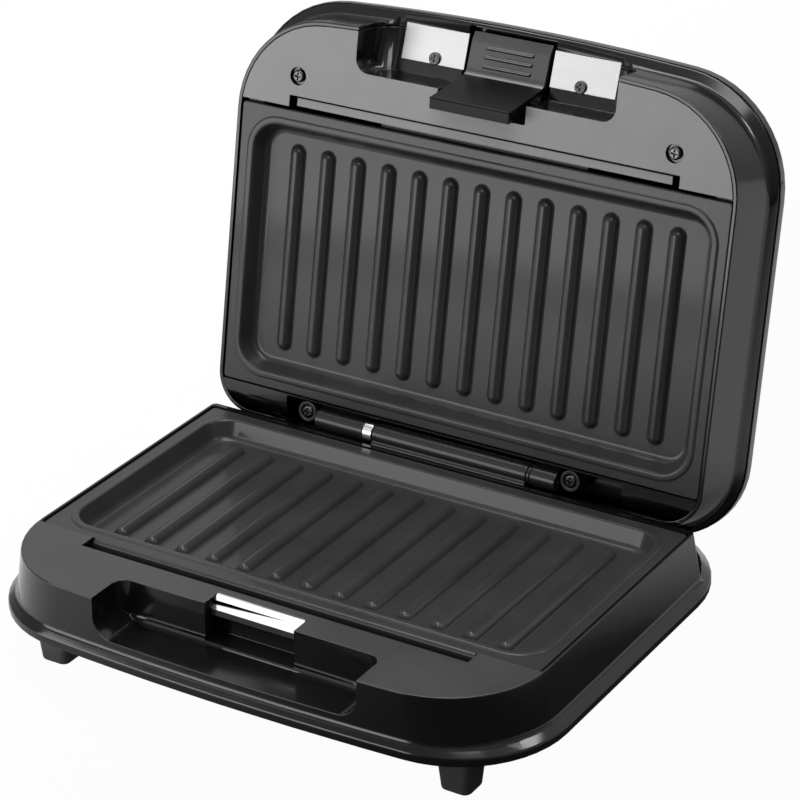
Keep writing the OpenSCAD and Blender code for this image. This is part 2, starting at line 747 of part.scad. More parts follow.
module lid_shell() {
    notch_w = latch_w + 2 * latch_gap;
    color(black) in_lid() difference() {
        union() {
            difference() {
                lid_outer();
                lid_inner();
            }
            intersection() {
                lid_outer();
                union() {
                    for (s = land_screws)
                        translate([s[0], s[1], wall_t + 2]) cylinder(r = 4, h = lid_top - wall_t - 2);
                    for (x = hinge_screw_xs)
                        translate([x, hinge_screw_y, hinge_roof + wall_t]) cylinder(r = 4, h = 20);
                    for (x = [-trim_screw_x, trim_screw_x])
                        translate([x, trim_screw_y, lid_pocket_depth + wall_t + 1.8]) cylinder(r = 3.4, h = 10);
                }
            }
        }
        for (s = land_screws)
            translate([s[0], s[1], 0]) cylinder(r = 1.4 + run, h = lid_top - 1);
        for (x = hinge_screw_xs)
            translate([x, hinge_screw_y, 0]) cylinder(r = 1.4 + run, h = lid_top - 1);
        trim_places() cylinder(r = 1.4 + run, h = 10.2, center = true);
        // mouth of the pocket in the front wall
        lid_pocket_cut();
        trim_recess();
        // room for the latch's thumb plate and for its travel
        translate([-notch_w / 2, notch_front, 0]) cube([notch_w, notch_rear - notch_front, lid_top + 1]);
        hinge_bay_cut(0, bay_y);
    }
}

lamp_xs = [-9, 9];
lamp_y = -18;
lamp_r = 3;

module lid_cover() {
    color(black) in_lid() difference() {
        loft([[flange_z, cover_edge], [lid_top + cover_h - 2, cover_edge],
              [lid_top + cover_h - 0.7, inset(cover_edge, 0.8)], [lid_top + cover_h, inset(cover_edge, 3)]]);
        loft([[flange_z - 1, lid_edge], [lid_top, lid_edge]]);
        loft([[lid_top - 1, inset(cover_edge, 3.2)], [lid_top + cover_h - cover_t, inset(cover_edge, 3.2)]]);
        for (x = lamp_xs)
            translate([x, lamp_y, lid_top]) cylinder(r = lamp_r + run, h = cover_h + 1);
        // gap in the band at each side
        for (x = [-1, 1])
            translate([x * (cover_edge[0] + 4), -8.5, flange_z - 1]) translate([-5, -2.6, 0]) cube([10, 5.2, 3]);
    }
}

module lamp(x) {
    on_x = [x, lamp_y, lid_top];
    in_lid() translate(on_x) {
        cylinder(r = lamp_r, h = cover_h + 0.5);
        cylinder(r = lamp_r + 1, h = cover_h - cover_t);
    }
}

module power_lamp() { color([0.7, 0.1, 0.08]) lamp(lamp_xs[0]); }
module ready_lamp() { color([0.15, 0.5, 0.2]) lamp(lamp_xs[1]); }

module lid_frame() {
    frame_line = inset(lid_rim, wall_t + 0.2);
    strip_y = lid_rear - wall_t - 0.2 - strip_r;
    bay = hinge_bay;
    slot_w = latch_w + 2 * latch_gap;
    deep = 9;
    roof_z = lid_top - wall_t - fit;
    color(satin) in_lid() difference() {
        union() {
            difference() {
                loft([[0, frame_line], [deep, frame_line]]);
                // hollow behind the front land and behind the rear strip
                translate([0, rim_front + 4, wall_t + 0.7]) intersection() {
                    slab(2 * rim_x - 20, front_reach - 12, deep, 30);
                    translate([-200, 0, 0]) cube([400, 200, 20]);
                }
            }
            // walls and sloping floor of the finger pocket
            intersection() {
                loft([[0, frame_line], [roof_z, inset(lid_rim, wall_t)]]);
                translate([0, wall_t - pocket_y, 0]) mirror([0, 1, 0])
                    slab(pocket_w + 2 * wall_t, cut_reach, roof_z, pocket_r + wall_t);
                on_pocket_floor() translate([-pocket_w, -cut_reach, wall_t - cut_reach])
                    cube([2 * pocket_w, cut_reach + 10, cut_reach]);
            }
            // slot for the latch
            translate([-slot_w / 2 - wall_t, -pocket_y - 8, 0])
                cube([slot_w + 2 * wall_t, pocket_y + 8 + lid_slot_rear + wall_t, roof_z]);
            // roof and ends over the hinge
            translate([-bay - wall_t, plate_d - 0.6, 0])
                cube([2 * (bay + wall_t), 13, hinge_roof + wall_t]);
            // lugs that carry the plate's posts
            for (p = posts)
                translate([p[0] - (p[0] < 0 ? 16 : 7), p[1] - 6, lug_z]) cube([23, 12, lug_t]);
            for (p = posts)
                translate([p[0] + (p[0] < 0 ? -16 : 13), p[1] - 6, deep - 2]) cube([3, 12, lug_z - deep + 3]);
        }
        // seat of the plate and the opening behind it
        translate([-rim_x, -land_gap, -1]) cube([2 * rim_x, plate_d + land_gap + fit, plate_edge_h + 1]);
        translate([0, ledge_w, -1])
            slab(plate_w - 2 * ledge_w, plate_d - 2 * ledge_w, pan_z + 2, hollow_r);
        // channel in the land with a rail standing in it
        difference() {
            translate([-rail_len / 2 - rail_end_gap, -channel_d, -1])
                cube([rail_len + 2 * rail_end_gap, channel_d + eps, channel_h + 1]);
            translate([-rail_len / 2, 0.6 - channel_d, rail_drop]) cube([rail_len, rail_w, channel_h]);
        }
        lid_pocket_cut();
        translate([-slot_w / 2, -front_reach - 3, -1])
            cube([slot_w, front_reach + 3 + lid_slot_rear, lid_top + 2]);
        trim_recess();
        trim_places() cylinder(r = 1.6, h = 8, center = true);
        hinge_bay_cut(0, bay_y);
        // rear strip rounds away towards the hinge
        along_x(-rim_x, rim_x) difference() {
            translate([strip_y, -1]) square([20, strip_r + 1]);
            translate([strip_y, strip_r]) circle(strip_r);
        }
        for (x = hinge_screw_xs)
            translate([x, hinge_screw_y, hinge_roof - 1]) cylinder(r = 1.6, h = 4);
        for (s = land_screws) {
            translate([s[0], s[1], -1]) cylinder(r = 4, h = 2.4);
            translate([s[0], s[1], -1]) cylinder(r = 1.6, h = 12);
        }
        for (p = posts)
            translate([p[0], p[1], lug_z - 1]) cylinder(r = 1.6, h = lug_t + 2);
        rod_x(-slot_w / 2 - wall_t - 1, slot_w / 2 + wall_t + 1, pivot[0], pivot[1] - shut_gap, latch_pin_r + run);
    }
}

module frame_screws() {
    color(dark_steel) in_lid() for (s = land_screws)
        translate([s[0], s[1], 1.4 - head_h]) mirror([0, 0, 1]) screw(land_screw_len);
}

module upper_plate_screws() {
    color(zinc) in_lid() mirror([0, 0, 1]) for (p = posts)
        translate([p[0], p[1], -lug_z - lug_t]) rotate([180, 0, 0]) translate([0, 0, head_h]) screw(lug_t + plate_screw_grip);
}

module upper_heater() { color(zinc) in_lid() mirror([0, 0, 1]) heating_rod(); }
module upper_reflector() { color(steel) in_lid() mirror([0, 0, 1]) reflector_sheet(); }
module upper_reflector_screws() { color(zinc) in_lid() mirror([0, 0, 1]) reflector_screw_pair(); }
module upper_thermostat() { color(zinc) in_lid() mirror([0, 0, 1]) thermostat_body(); }

module thermal_fuse() {
    fuse_r = 1.6;
    can = [18, 32];
    wire = 4;
    color(zinc) in_lid() {
        rod_x(can[0], can[1], plate_d / 2, pan_z + fuse_r + run, fuse_r);
        rod_x(can[0] - wire, can[1] + wire, plate_d / 2, pan_z + fuse_r + run, 0.5);
    }
}

// Places of the two trim screws on the pocket's floor.
module trim_places() {
    for (x = [-trim_screw_x, trim_screw_x])
        on_pocket_floor() translate([x, trim_screw_y + pocket_y, 0]) children();
}

// A steel plate on the pocket's floor, with room g round it.
module trim_sheet(side, g) {
    on_pocket_floor()
        translate([side * trim_x - trim_len / 2 - g, trim_screw_y + 2.3 - trim_d + pocket_y - g, 0])
            cube([trim_len + 2 * g, trim_d + 2 * g, trim_t]);
}

module trim_recess() {
    for (side = [-1, 1]) trim_sheet(side, run);
}

module trim_plate(side) {
    color(steel) in_lid() difference() {
        trim_sheet(side, 0);
        trim_places() cylinder(r = 1.6, h = 4, center = true);
    }
}

module left_trim_plate() { trim_plate(-1); }
module right_trim_plate() { trim_plate(1); }

module trim_screws() {
    color(dark_steel) in_lid() trim_places() translate([0, 0, -head_h]) mirror([0, 0, 1]) screw(trim_screw_len);
}

// Knuckle and screw boss of one side of the hinge, hung from the roof.
module hinge_bracket(span, screw_x) {
    roof = hinge_roof + shut_gap;
    color(black) on_lid() difference() {
        union() {
            rod_x(span[0], span[1], hinge_y, hinge_up, barrel_r);
            along_x(span[0], span[1])
                polygon([[bay_y + fit, roof], [bay_y + fit, roof - 5], [hinge_y - barrel_r, hinge_up],
                         [hinge_y + barrel_r, hinge_up], [hinge_y + barrel_r, roof]]);
            translate([screw_x, hinge_screw_y, 1]) cylinder(r = 4.6, h = roof - 1);
            translate([min(span[0], screw_x), hinge_screw_y - 3, roof - 4])
                cube([max(span[1], screw_x) - min(span[0], screw_x), 6, 4]);
        }
        rod_x(span[0] - 12, span[1] + 1, hinge_y, hinge_up, pin_r + run);
        translate([screw_x, hinge_screw_y, 0]) cylinder(r = 1.6, h = roof + 1);
        translate([screw_x, hinge_screw_y, 0]) cylinder(r = head_r + 0.3, h = 1 + head_h);
    }
}

module left_hinge_bracket() { hinge_bracket(left_barrel, hinge_screw_xs[0]); }
module right_hinge_bracket() { hinge_bracket(right_barrel, hinge_screw_xs[1]); }

module hinge_screws() {
    color(dark_steel) on_lid() for (x = hinge_screw_xs)
        translate([x, hinge_screw_y, 1]) mirror([0, 0, 1]) screw(hinge_screw_len);
}

module hinge_pin() {
    color(zinc) on_lid() rod_x(left_barrel[0] + 1, right_barrel[1] - 1, hinge_y, hinge_up, pin_r);
}

module hinge_ring(span, r) {
    difference() {
        rod_x(span[0], span[1], hinge_y, hinge_up, r);
        rod_x(span[0] - 1, span[1] + 1, hinge_y, hinge_up, pin_r + run);
    }
}

module left_hinge_bush() { color(steel) on_lid() hinge_ring(bush_span, barrel_r + 0.3); }
module right_hinge_washer() { color(black) on_lid() hinge_ring(washer_span, barrel_r - 0.2); }

module latch_pin() {
    reach = latch_w / 2 + latch_gap + wall_t;
    color(zinc) on_lid() rod_x(-reach, reach, pivot[0], pivot[1], latch_pin_r);
}

module latch_spring() {
    color(zinc) on_lid() difference() {
        rod_x(-7, 7, pivot[0], pivot[1], latch_pin_r + 1.3);
        rod_x(-8, 8, pivot[0], pivot[1], latch_pin_r + run);
    }
}

// ---- latch --------------------------------------------------------------

module latch() {
    w = latch_w / 2;
    lean = (arm_end[0] - arm_top[0]) / (arm_top[1] - arm_end[1]);
    hook_top = arm_end[1] + hook_t;
    color(satin) on_lid() difference() {
        union() {
            along_x(-w, w)
                polygon([arm_top, arm_end, [hook_tip, arm_end[1] + 0.6], [hook_tip, hook_top],
                         [arm_end[0] - lean * hook_t + latch_t, hook_top],
                         [arm_top[0] + latch_t, arm_top[1]], [arm_top[0] + 1, arm_top[1] + latch_t],
                         [thumb_end[0] + 0.6, thumb_end[1] + latch_t],
                         [curl_end[0] + 0.7, curl_end[1] + 1.2], curl_end, thumb_end]);
            for (s = [-1, 1]) {
                rod_x(s * w - (s > 0 ? 8 : 0), s * w + (s > 0 ? 0 : 8), pivot[0], pivot[1], 2.8);
                translate([s * w - (s > 0 ? 8 : 0), arm_top[0] + 1, pivot[1] - 2.6])
                    cube([8, pivot[0] - arm_top[0] - 1, 3.4]);
            }
            // grip ribs across the thumb plate
            for (t = [0.28, 0.55, 0.82])
                rod_x(-11.5, 11.5, mix(arm_top[0], thumb_end[0], t), mix(arm_top[1], thumb_end[1], t), 0.9);
        }
        rod_x(-w - 1, w + 1, pivot[0], pivot[1], latch_pin_r + run);
    }
}

lower_casing();
bottom_tray();
front_left_foot();
front_right_foot();
rear_left_foot();
rear_right_foot();
foot_screws();
lower_plate();
lower_plate_screws();
lower_heater();
lower_reflector();
lower_reflector_screws();
lower_thermostat();
catch_plate();
hinge_barrel();
barrel_screws();
terminal_block();
cord_gland();
lid_shell();
lid_cover();
lid_frame();
frame_screws();
upper_plate();
upper_plate_screws();
upper_heater();
upper_reflector();
upper_reflector_screws();
upper_thermostat();
thermal_fuse();
left_trim_plate();
right_trim_plate();
trim_screws();
left_hinge_bracket();
right_hinge_bracket();
hinge_screws();
hinge_pin();
left_hinge_bush();
right_hinge_washer();
latch_pin();
latch_spring();
power_lamp();
ready_lamp();
latch();
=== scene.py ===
# %% [markdown]
# # An open sandwich toaster
# A black sandwich toaster stands open on a white ground. Its casings are glossy moulded plastic,
# the inner face of the lid is satin, and the two ribbed cooking plates have a dark non-stick
# coating. The solids that measure, hinge and collide come in ready made and stay as they are. This
# lesson gives them their looks, and models again the pieces whose rounded edges catch the light.

import json
import math

import bmesh
import bpy
from mathutils import Matrix, Vector


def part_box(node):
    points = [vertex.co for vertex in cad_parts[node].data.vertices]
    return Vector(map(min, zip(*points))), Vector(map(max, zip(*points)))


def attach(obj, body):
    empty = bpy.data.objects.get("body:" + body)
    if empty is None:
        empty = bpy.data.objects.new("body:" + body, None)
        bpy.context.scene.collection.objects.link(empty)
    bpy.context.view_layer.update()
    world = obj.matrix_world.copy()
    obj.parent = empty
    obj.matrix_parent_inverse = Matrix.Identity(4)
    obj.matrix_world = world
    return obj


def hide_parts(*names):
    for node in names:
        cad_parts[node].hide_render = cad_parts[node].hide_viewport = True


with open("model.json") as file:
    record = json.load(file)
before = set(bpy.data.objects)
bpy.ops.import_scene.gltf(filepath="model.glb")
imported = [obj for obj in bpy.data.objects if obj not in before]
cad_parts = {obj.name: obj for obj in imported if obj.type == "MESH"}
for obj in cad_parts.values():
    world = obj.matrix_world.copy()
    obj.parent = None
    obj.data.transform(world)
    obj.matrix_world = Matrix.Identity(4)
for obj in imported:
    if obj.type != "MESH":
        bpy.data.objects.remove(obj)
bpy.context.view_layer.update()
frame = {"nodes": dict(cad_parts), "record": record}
print("solids:", len(frame["nodes"]))

# %% [markdown]
# ## Units and places
# The toaster was measured in millimetres from the front edge of its lower plate, and the rim where
# lid and base meet is height zero. Blender works in metres from the middle of the footprint, so
# one small function turns a measured point into a place in the scene. Lid pieces were measured
# with the lid shut, so they are modelled shut and then swung back about the hinge by one matrix.

# %% Places
MM = 0.001
PLATE_W, PLATE_D = 232, 124
SHUT_GAP = 0.6
HINGE_Y, HINGE_Z = 132.2, 2.9
hinge_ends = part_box("hinge_pin")
hinge_centre = (hinge_ends[0] + hinge_ends[1]) / 2
RIM_HEIGHT = hinge_centre.z / MM - HINGE_Z
ORIGIN_Y = HINGE_Y - hinge_centre.y / MM
OPEN_ANGLE = math.radians(100.25)
ACROSS, UP = Vector((0, 1, 0)), Vector((0, 0, 1))


def place(x, y, z):
    """A point measured in millimetres from the lower plate's front edge."""
    return Vector((x * MM, (y - ORIGIN_Y) * MM, (z + RIM_HEIGHT) * MM))


ON_BASE = Matrix.Translation(place(0, 0, 0))
ON_LID = (Matrix.Translation(place(0, HINGE_Y, HINGE_Z)) @ Matrix.Rotation(-OPEN_ANGLE, 4, "X")
          @ Matrix.Translation(Vector((0, -HINGE_Y, -HINGE_Z)) * MM))
IN_LID = ON_LID @ Matrix.Translation((0, 0, SHUT_GAP * MM))
print("rim height mm:", round(RIM_HEIGHT, 2), "origin y mm:", round(ORIGIN_Y, 2))

# %% [markdown]
# ## Camera
# The view is from the front right and above, with a long lens, so that the lines of the toaster
# hardly draw together. The camera's three directions are worked out from its azimuth, its height
# angle and a slight roll, and written into its matrix. One could also aim it at an empty with a
# Track To constraint, but the roll and the exact place are easier to keep in numbers.

# %% Camera
FRAME_SIDE, FOCAL_PIXELS, SENSOR_WIDTH = 800, 3078.47, 36
CAMERA_AT = (590.0, -869.9, 597.1)
AZIMUTH, ELEVATION, ROLL = (math.radians(a) for a in (31.5413, 26.0722, -0.5283))
back = Vector((math.sin(AZIMUTH) * math.cos(ELEVATION),
               -math.cos(AZIMUTH) * math.cos(ELEVATION), math.sin(ELEVATION)))
side = Vector((math.cos(AZIMUTH), math.sin(AZIMUTH), 0))
up = back.cross(side)
right = math.cos(ROLL) * side + math.sin(ROLL) * up
top = back.cross(right)
bpy.ops.object.camera_add(location=place(*CAMERA_AT))
camera = bpy.context.object
camera.name = "photo_camera"
camera.data.lens = FOCAL_PIXELS * SENSOR_WIDTH / FRAME_SIDE
camera.data.sensor_width = SENSOR_WIDTH
camera.data.clip_start = 0.05
camera.matrix_world = Matrix((
    (right.x, top.x, back.x, camera.location.x),
    (right.y, top.y, back.y, camera.location.y),
    (right.z, top.z, back.z, camera.location.z),
    (0, 0, 0, 1)))
bpy.context.scene.camera = camera
print("lens mm:", round(camera.data.lens, 2))

# %% [markdown]
# ## Floor
# The ground is plain white to the camera, with only a breath of shadow. A white floor lit by lamps
# alone would need so much light that the toaster washes out. So the Light Path node tells which
# ray asks: to the camera the floor glows nearly white of itself. In what the glossy plastic
# mirrors it glows behind the toaster, and fades in front of it and around its front right corner.
# That fade is painted shadow in the reflections. The floor's own tone darkens from left to right,
# which is painted shade too.

# %% A sheet of floor
bpy.ops.object.select_all(action="DESELECT")
bpy.ops.mesh.primitive_plane_add(size=8, location=(0, 0, -0.0002))
floor = bpy.context.object
floor.name = "floor"

# %% Helpers for nodes


def new_material(name):
    """An empty material with its nodes, links and main shader."""
    material = bpy.data.materials.new(name)
    material.use_nodes = True
    nodes, links = material.node_tree.nodes, material.node_tree.links
    return material, nodes, links, nodes["Principled BSDF"]


def calculate(nodes, links, operation, first, second):
    """A Math node whose two inputs are sockets or numbers."""
    made = nodes.new("ShaderNodeMath")
    made.operation = operation
    for socket, value in zip(made.inputs, (first, second)):
        if isinstance(value, (int, float)):
            socket.default_value = value
        else:
            links.new(value, socket)
    return made.outputs[0]


def graded(nodes, links, value, span, result=(0.0, 1.0), curve="LINEAR"):
    """A Map Range node: as the value goes through its span, its output goes through the result."""
    made = nodes.new("ShaderNodeMapRange")
    made.interpolation_type = curve
    for label, number in zip(("From Min", "From Max", "To Min", "To Max"), span + result):
        made.inputs[label].default_value = number
    links.new(value, made.inputs["Value"])
    return made.outputs["Result"]


# %% Floor material
CAMERA_GLOW = 0.97
# Painted shade: the floor's own tone darkens from left to right, and its glow in reflections fades
# in front and near the front right corner.
PAINTED_SHADE_ALONG_X, PAINTED_SHADE_TONES = (-0.32, 0.1), (0.9, 0.04)
PAINTED_FRONT_SHADE_Y = (-0.3, 0.0)
PAINTED_SHADOW_CENTRE, PAINTED_SHADOW_REACH = (0.1, -0.08, 0), (0.17, 0.3)
floor_material, nodes, links, shader = new_material("floor_white")
shader.inputs["Roughness"].default_value = 0.8
shader.inputs["Specular IOR Level"].default_value = 0.1
ray = nodes.new("ShaderNodeLightPath")
where = nodes.new("ShaderNodeTexCoord")
split = nodes.new("ShaderNodeSeparateXYZ")
links.new(where.outputs["Object"], split.inputs[0])
# Painted shade: the floor's tone, light at the left and dark at the right.
painted_shade_tone = graded(nodes, links, split.outputs["X"], PAINTED_SHADE_ALONG_X, PAINTED_SHADE_TONES, "SMOOTHSTEP")
links.new(painted_shade_tone, shader.inputs["Base Color"])
# Painted shadow in reflections: the mirrored glow fades towards the front.
behind = graded(nodes, links, split.outputs["Y"], PAINTED_FRONT_SHADE_Y)
reach = nodes.new("ShaderNodeVectorMath")
reach.operation = "DISTANCE"
reach.inputs[1].default_value = PAINTED_SHADOW_CENTRE
links.new(where.outputs["Object"], reach.inputs[0])
# Painted contact shadow in reflections: the mirrored glow fades near the front right corner.
outside_painted_shadow = graded(nodes, links, reach.outputs["Value"], PAINTED_SHADOW_REACH)
mirrored = calculate(nodes, links, "MAXIMUM", ray.outputs["Is Glossy Ray"],
                     ray.outputs["Is Transmission Ray"])
mirrored = calculate(nodes, links, "MULTIPLY", mirrored, behind)
mirrored = calculate(nodes, links, "MULTIPLY", mirrored, outside_painted_shadow)
direct = calculate(nodes, links, "MULTIPLY", ray.outputs["Is Camera Ray"], CAMERA_GLOW)
glow = nodes.new("ShaderNodeEmission")
mixed = nodes.new("ShaderNodeMixShader")
links.new(calculate(nodes, links, "MAXIMUM", direct, mirrored), mixed.inputs[0])
links.new(shader.outputs[0], mixed.inputs[1])
links.new(glow.outputs[0], mixed.inputs[2])
links.new(mixed.outputs[0], nodes["Material Output"].inputs["Surface"])
floor.data.materials.append(floor_material)
print("floor nodes:", len(nodes))

# %% [markdown]
# ## Light
# Black plastic shows little but reflections, so the surroundings matter more than the lamps. The
# world is bright above and behind and dim in front, which keeps the front wall dark, and white to
# the camera. A softbox low at the front left lights the satin face of the lid and shows in the
# steel plates. A long strip overhead gives the rounded rims their thin highlights. A small one at
# the right makes the highlight on the front right corner of the flange, and a dim one at the upper
# left shows in the sloping steel of the catch. The last two were placed by following the view ray
# from the camera to that surface and on to where it is mirrored.

# %% World
WORLD_SLOPE, SLOPE_SPAN, WORLD_STRENGTH = (0.0, 0.35, 0.5), (-0.25, 0.6), (0.05, 0.8)
world = bpy.data.worlds.new("studio")
bpy.context.scene.world = world
world.use_nodes = True
nodes, links = world.node_tree.nodes, world.node_tree.links
nodes.clear()
coordinate = nodes.new("ShaderNodeTexCoord")
slope = nodes.new("ShaderNodeVectorMath")
slope.operation = "DOT_PRODUCT"
slope.inputs[1].default_value = WORLD_SLOPE
links.new(coordinate.outputs["Generated"], slope.inputs[0])
brightness = graded(nodes, links, slope.outputs["Value"], SLOPE_SPAN, WORLD_STRENGTH)
background = nodes.new("ShaderNodeBackground")
background.inputs["Color"].default_value = (1, 1, 1, 1)
ray = nodes.new("ShaderNodeLightPath")
links.new(calculate(nodes, links, "MAXIMUM", brightness, ray.outputs["Is Camera Ray"]),
          background.inputs["Strength"])
output = nodes.new("ShaderNodeOutputWorld")
links.new(background.outputs[0], output.inputs["Surface"])
print("world nodes:", len(nodes))

# %% Lamps
SOFTBOXES = {  # place, point it looks at, width and height in metres, radiance
    "front_left_softbox": ((-0.5, -0.85, 0.25), (0, 0.08, 0.16), (0.8, 0.44), 4.5),
    "strip_overhead": ((-0.05, -0.05, 1.4), (0, 0, 0), (1.9, 0.5), 5),
    "right_softbox": ((0.945, 0.345, 1.195), (0.12, -0.09, 0.03), (0.36, 0.36), 9),
    "ramp_softbox": ((-0.59, -0.69, 0.9), (0, -0.09, 0.05), (0.35, 0.35), 0.9),
}


def softbox(name, location, target, size, radiance):
    """A lamp with a face of that size, as bright as radiance says to a mirror."""
    bpy.ops.object.light_add(type="AREA", location=location)
    lamp = bpy.context.object
    lamp.name = name
    lamp.data.shape = "RECTANGLE"
    lamp.data.size, lamp.data.size_y = size
    lamp.data.energy = radiance * math.pi * size[0] * size[1]
    aim = Vector(target) - Vector(location)
    lamp.rotation_euler = aim.to_track_quat("-Z", "Y").to_euler()


for name, (location, target, size, radiance) in SOFTBOXES.items():
    softbox(name, location, target, size, radiance)
bpy.context.scene.view_settings.view_transform = "Standard"

# %% [markdown]
# ## Moulded plastic, coating and metal
# Every finish is a shader with noise in it. A slow noise shifts the colour and the roughness a
# little, as handling and moulding do, and a fine noise lifts the surface into grain. All of them
# read object coordinates, so the pattern stays fixed to the piece and at its real size. Image
# textures could do the same, but noise has no seams and no limit of size.

# %% One finish
SLOW_SCALE, GRAIN_STRENGTH = 28, 0.6
COLOUR_SPAN, COLOUR_SHIFT = (0.35, 0.65), 0.12
ROUGHNESS_SPAN, ROUGHNESS_SHIFT = (0.3, 0.7), 0.1
# A vector Map Range node names its inputs as the plain one does, so these are told by number.
VALUE, FROM_MIN, FROM_MAX, TO_MIN, TO_MAX = 6, 7, 8, 9, 10


def finish(name, colour, roughness, grain=2500, height=0.00002, metal=0.0, stretch=(1, 1, 1),
           **sockets):
    """A shader whose colour, roughness and surface vary as a made surface does. The grain is a
    noise scale and its height is in metres."""
    material, nodes, links, shader = new_material(name)
    where = nodes.new("ShaderNodeTexCoord")
    turn = nodes.new("ShaderNodeMapping")
    turn.inputs["Scale"].default_value = stretch
    links.new(where.outputs["Object"], turn.inputs["Vector"])

    def noise(scale, detail):
        made = nodes.new("ShaderNodeTexNoise")
        made.inputs["Scale"].default_value = scale
        made.inputs["Detail"].default_value = detail
        links.new(turn.outputs[0], made.inputs["Vector"])
        return made

    slow, fine = noise(SLOW_SCALE, 3), noise(grain, 2)
    tint = nodes.new("ShaderNodeMapRange")
    tint.data_type = "FLOAT_VECTOR"
    for i in range(3):
        tint.inputs[FROM_MIN].default_value[i] = COLOUR_SPAN[0]
        tint.inputs[FROM_MAX].default_value[i] = COLOUR_SPAN[1]
        tint.inputs[TO_MIN].default_value[i] = colour[i] * (1 - COLOUR_SHIFT)
        tint.inputs[TO_MAX].default_value[i] = colour[i] * (1 + COLOUR_SHIFT)
    links.new(slow.outputs["Fac"], tint.inputs[VALUE])
    links.new(tint.outputs["Vector"], shader.inputs["Base Color"])
    rough = (roughness * (1 - ROUGHNESS_SHIFT), roughness * (1 + ROUGHNESS_SHIFT))
    links.new(graded(nodes, links, slow.outputs["Fac"], ROUGHNESS_SPAN, rough),
              shader.inputs["Roughness"])
    bump = nodes.new("ShaderNodeBump")
    bump.inputs["Distance"].default_value = height
    bump.inputs["Strength"].default_value = GRAIN_STRENGTH
    links.new(fine.outputs["Fac"], bump.inputs["Height"])
    links.new(bump.outputs["Normal"], shader.inputs["Normal"])
    shader.inputs["Metallic"].default_value = metal
    for socket, value in sockets.items():
        shader.inputs[socket.replace("_", " ")].default_value = value
    return material


# %% [markdown]
# ### The finishes of this toaster
# The casings are nearly black and glossy, so they show the room. The satin plastics are rough and
# take a soft, even grey. The light grey of the lid's satin and of the latch's thumb plate is
# painted light, as the base's land of satin plastic is nearly black. The coating of the plates is
# matt under a thin gloss, which the coat sockets give. The steels are metals, and their noise is
# stretched into brushing along one way.

# %% Finishes by name
finishes = {
    "gloss_black": finish("gloss_black_plastic", (0.004, 0.004, 0.0042), 0.15, grain=350,
                          height=0.0000006, Specular_IOR_Level=0.5),
    # Painted light: the lid's satin is a light grey, while the base's land of the same satin black
    # plastic is nearly black.
    "satin_plastic": finish("satin_black_plastic_painted_light", (0.2, 0.2, 0.2), 0.45, grain=3500,
                            height=0.00003, Specular_IOR_Level=0.6),
    "latch_plastic": finish("satin_latch_plastic", (0.004, 0.004, 0.0042), 0.3, grain=3500,
                            height=0.00002, Specular_IOR_Level=0.14),
    "hinge_plastic": finish("semi_gloss_plastic", (0.012, 0.012, 0.0125), 0.26, grain=1500,
                            height=0.000008, Specular_IOR_Level=0.4),
    "foot_plastic": finish("matt_foot_plastic", (0.05, 0.05, 0.05), 0.45, grain=3000,
                           height=0.00003),
    "coated_plate": finish("non_stick_coating", (0.03, 0.03, 0.0305), 0.32, grain=2600,
                           height=0.000003, Specular_IOR_Level=0.2, Coat_Weight=0.25,
                           Coat_Roughness=0.08),
    "bright_steel": finish("polished_steel", (0.9, 0.9, 0.91), 0.2, grain=3000, height=0.000004,
                           metal=1.0, stretch=(0.05, 1, 1)),
    "reflector_sheet": finish("bright_sheet", (0.75, 0.75, 0.76), 0.25, metal=1.0),
    "black_screws": finish("blackened_steel", (0.08, 0.08, 0.082), 0.22, grain=4000,
                           height=0.000004, metal=1.0),
    "zinc_screws": finish("zinc_plating", (0.6, 0.6, 0.61), 0.3, grain=4000, metal=1.0),
    "hinge_metal": finish("turned_steel", (0.7, 0.7, 0.71), 0.2, grain=1500, metal=1.0,
                          stretch=(8, 1, 1)),
    "heater_rod": finish("heater_sheath", (0.28, 0.27, 0.26), 0.5, metal=0.8),
    "control_metal": finish("control_can", (0.6, 0.6, 0.6), 0.4, metal=1.0),
    "terminal_plastic": finish("off_white_plastic", (0.75, 0.73, 0.67), 0.45),
    "gland_rubber": finish("soft_rubber", (0.02, 0.02, 0.02), 0.6, grain=2500, height=0.00004),
    "red_lens": finish("red_lens", (0.45, 0.02, 0.02), 0.12, height=0.000002),
    "green_lens": finish("green_lens", (0.02, 0.3, 0.06), 0.12, height=0.000002),
}
satin_land = finish("satin_base_plastic", (0.03, 0.03, 0.03), 0.42, grain=3500, height=0.00003)
# Painted light: the thumb plate is the latch's satin plastic, made lighter and shinier where it
# faces the light.
thumb_painted_light = finish("satin_thumb_plate_painted_light", (0.022, 0.022, 0.0225), 0.35, grain=3500, height=0.00002,
                     Specular_IOR_Level=1.0)
brushed_steel = finish("brushed_steel", (0.48, 0.48, 0.485), 0.38, grain=3000, height=0.000004,
                       metal=1.0, stretch=(0.05, 1, 1))

# %% Every solid gets the finish of its slot
slots = {part["node"]: part["material_slot"] for part in frame["record"]["subparts"]}
for name, solid in frame["nodes"].items():
    solid.data.materials.clear()
    solid.data.materials.append(finishes[slots[name]])
print("finishes:", len(finishes), "and three more for single pieces")

# %% [markdown]
# ## Tools for modelling in code
# In the window one clicks on a face and then presses a key. In code the click becomes a test:
# these helpers open a piece in edit mode and select its faces or edges by where they are or which
# way they look. The rest is the same operators as by hand.

# %% Selecting and joining


def only(*chosen):
    """Selects these objects and nothing else, the first one active."""
    bpy.ops.object.select_all(action="DESELECT")
    for piece in chosen:
        piece.select_set(True)
    bpy.context.view_layer.objects.active = chosen[0]


def edit(piece):
    """Opens a piece in edit mode with nothing selected."""
    only(piece)
    bpy.ops.object.mode_set(mode="EDIT")
    bpy.ops.mesh.select_all(action="DESELECT")


def leave():
    """Goes back to object mode."""
    bpy.ops.object.mode_set(mode="OBJECT")


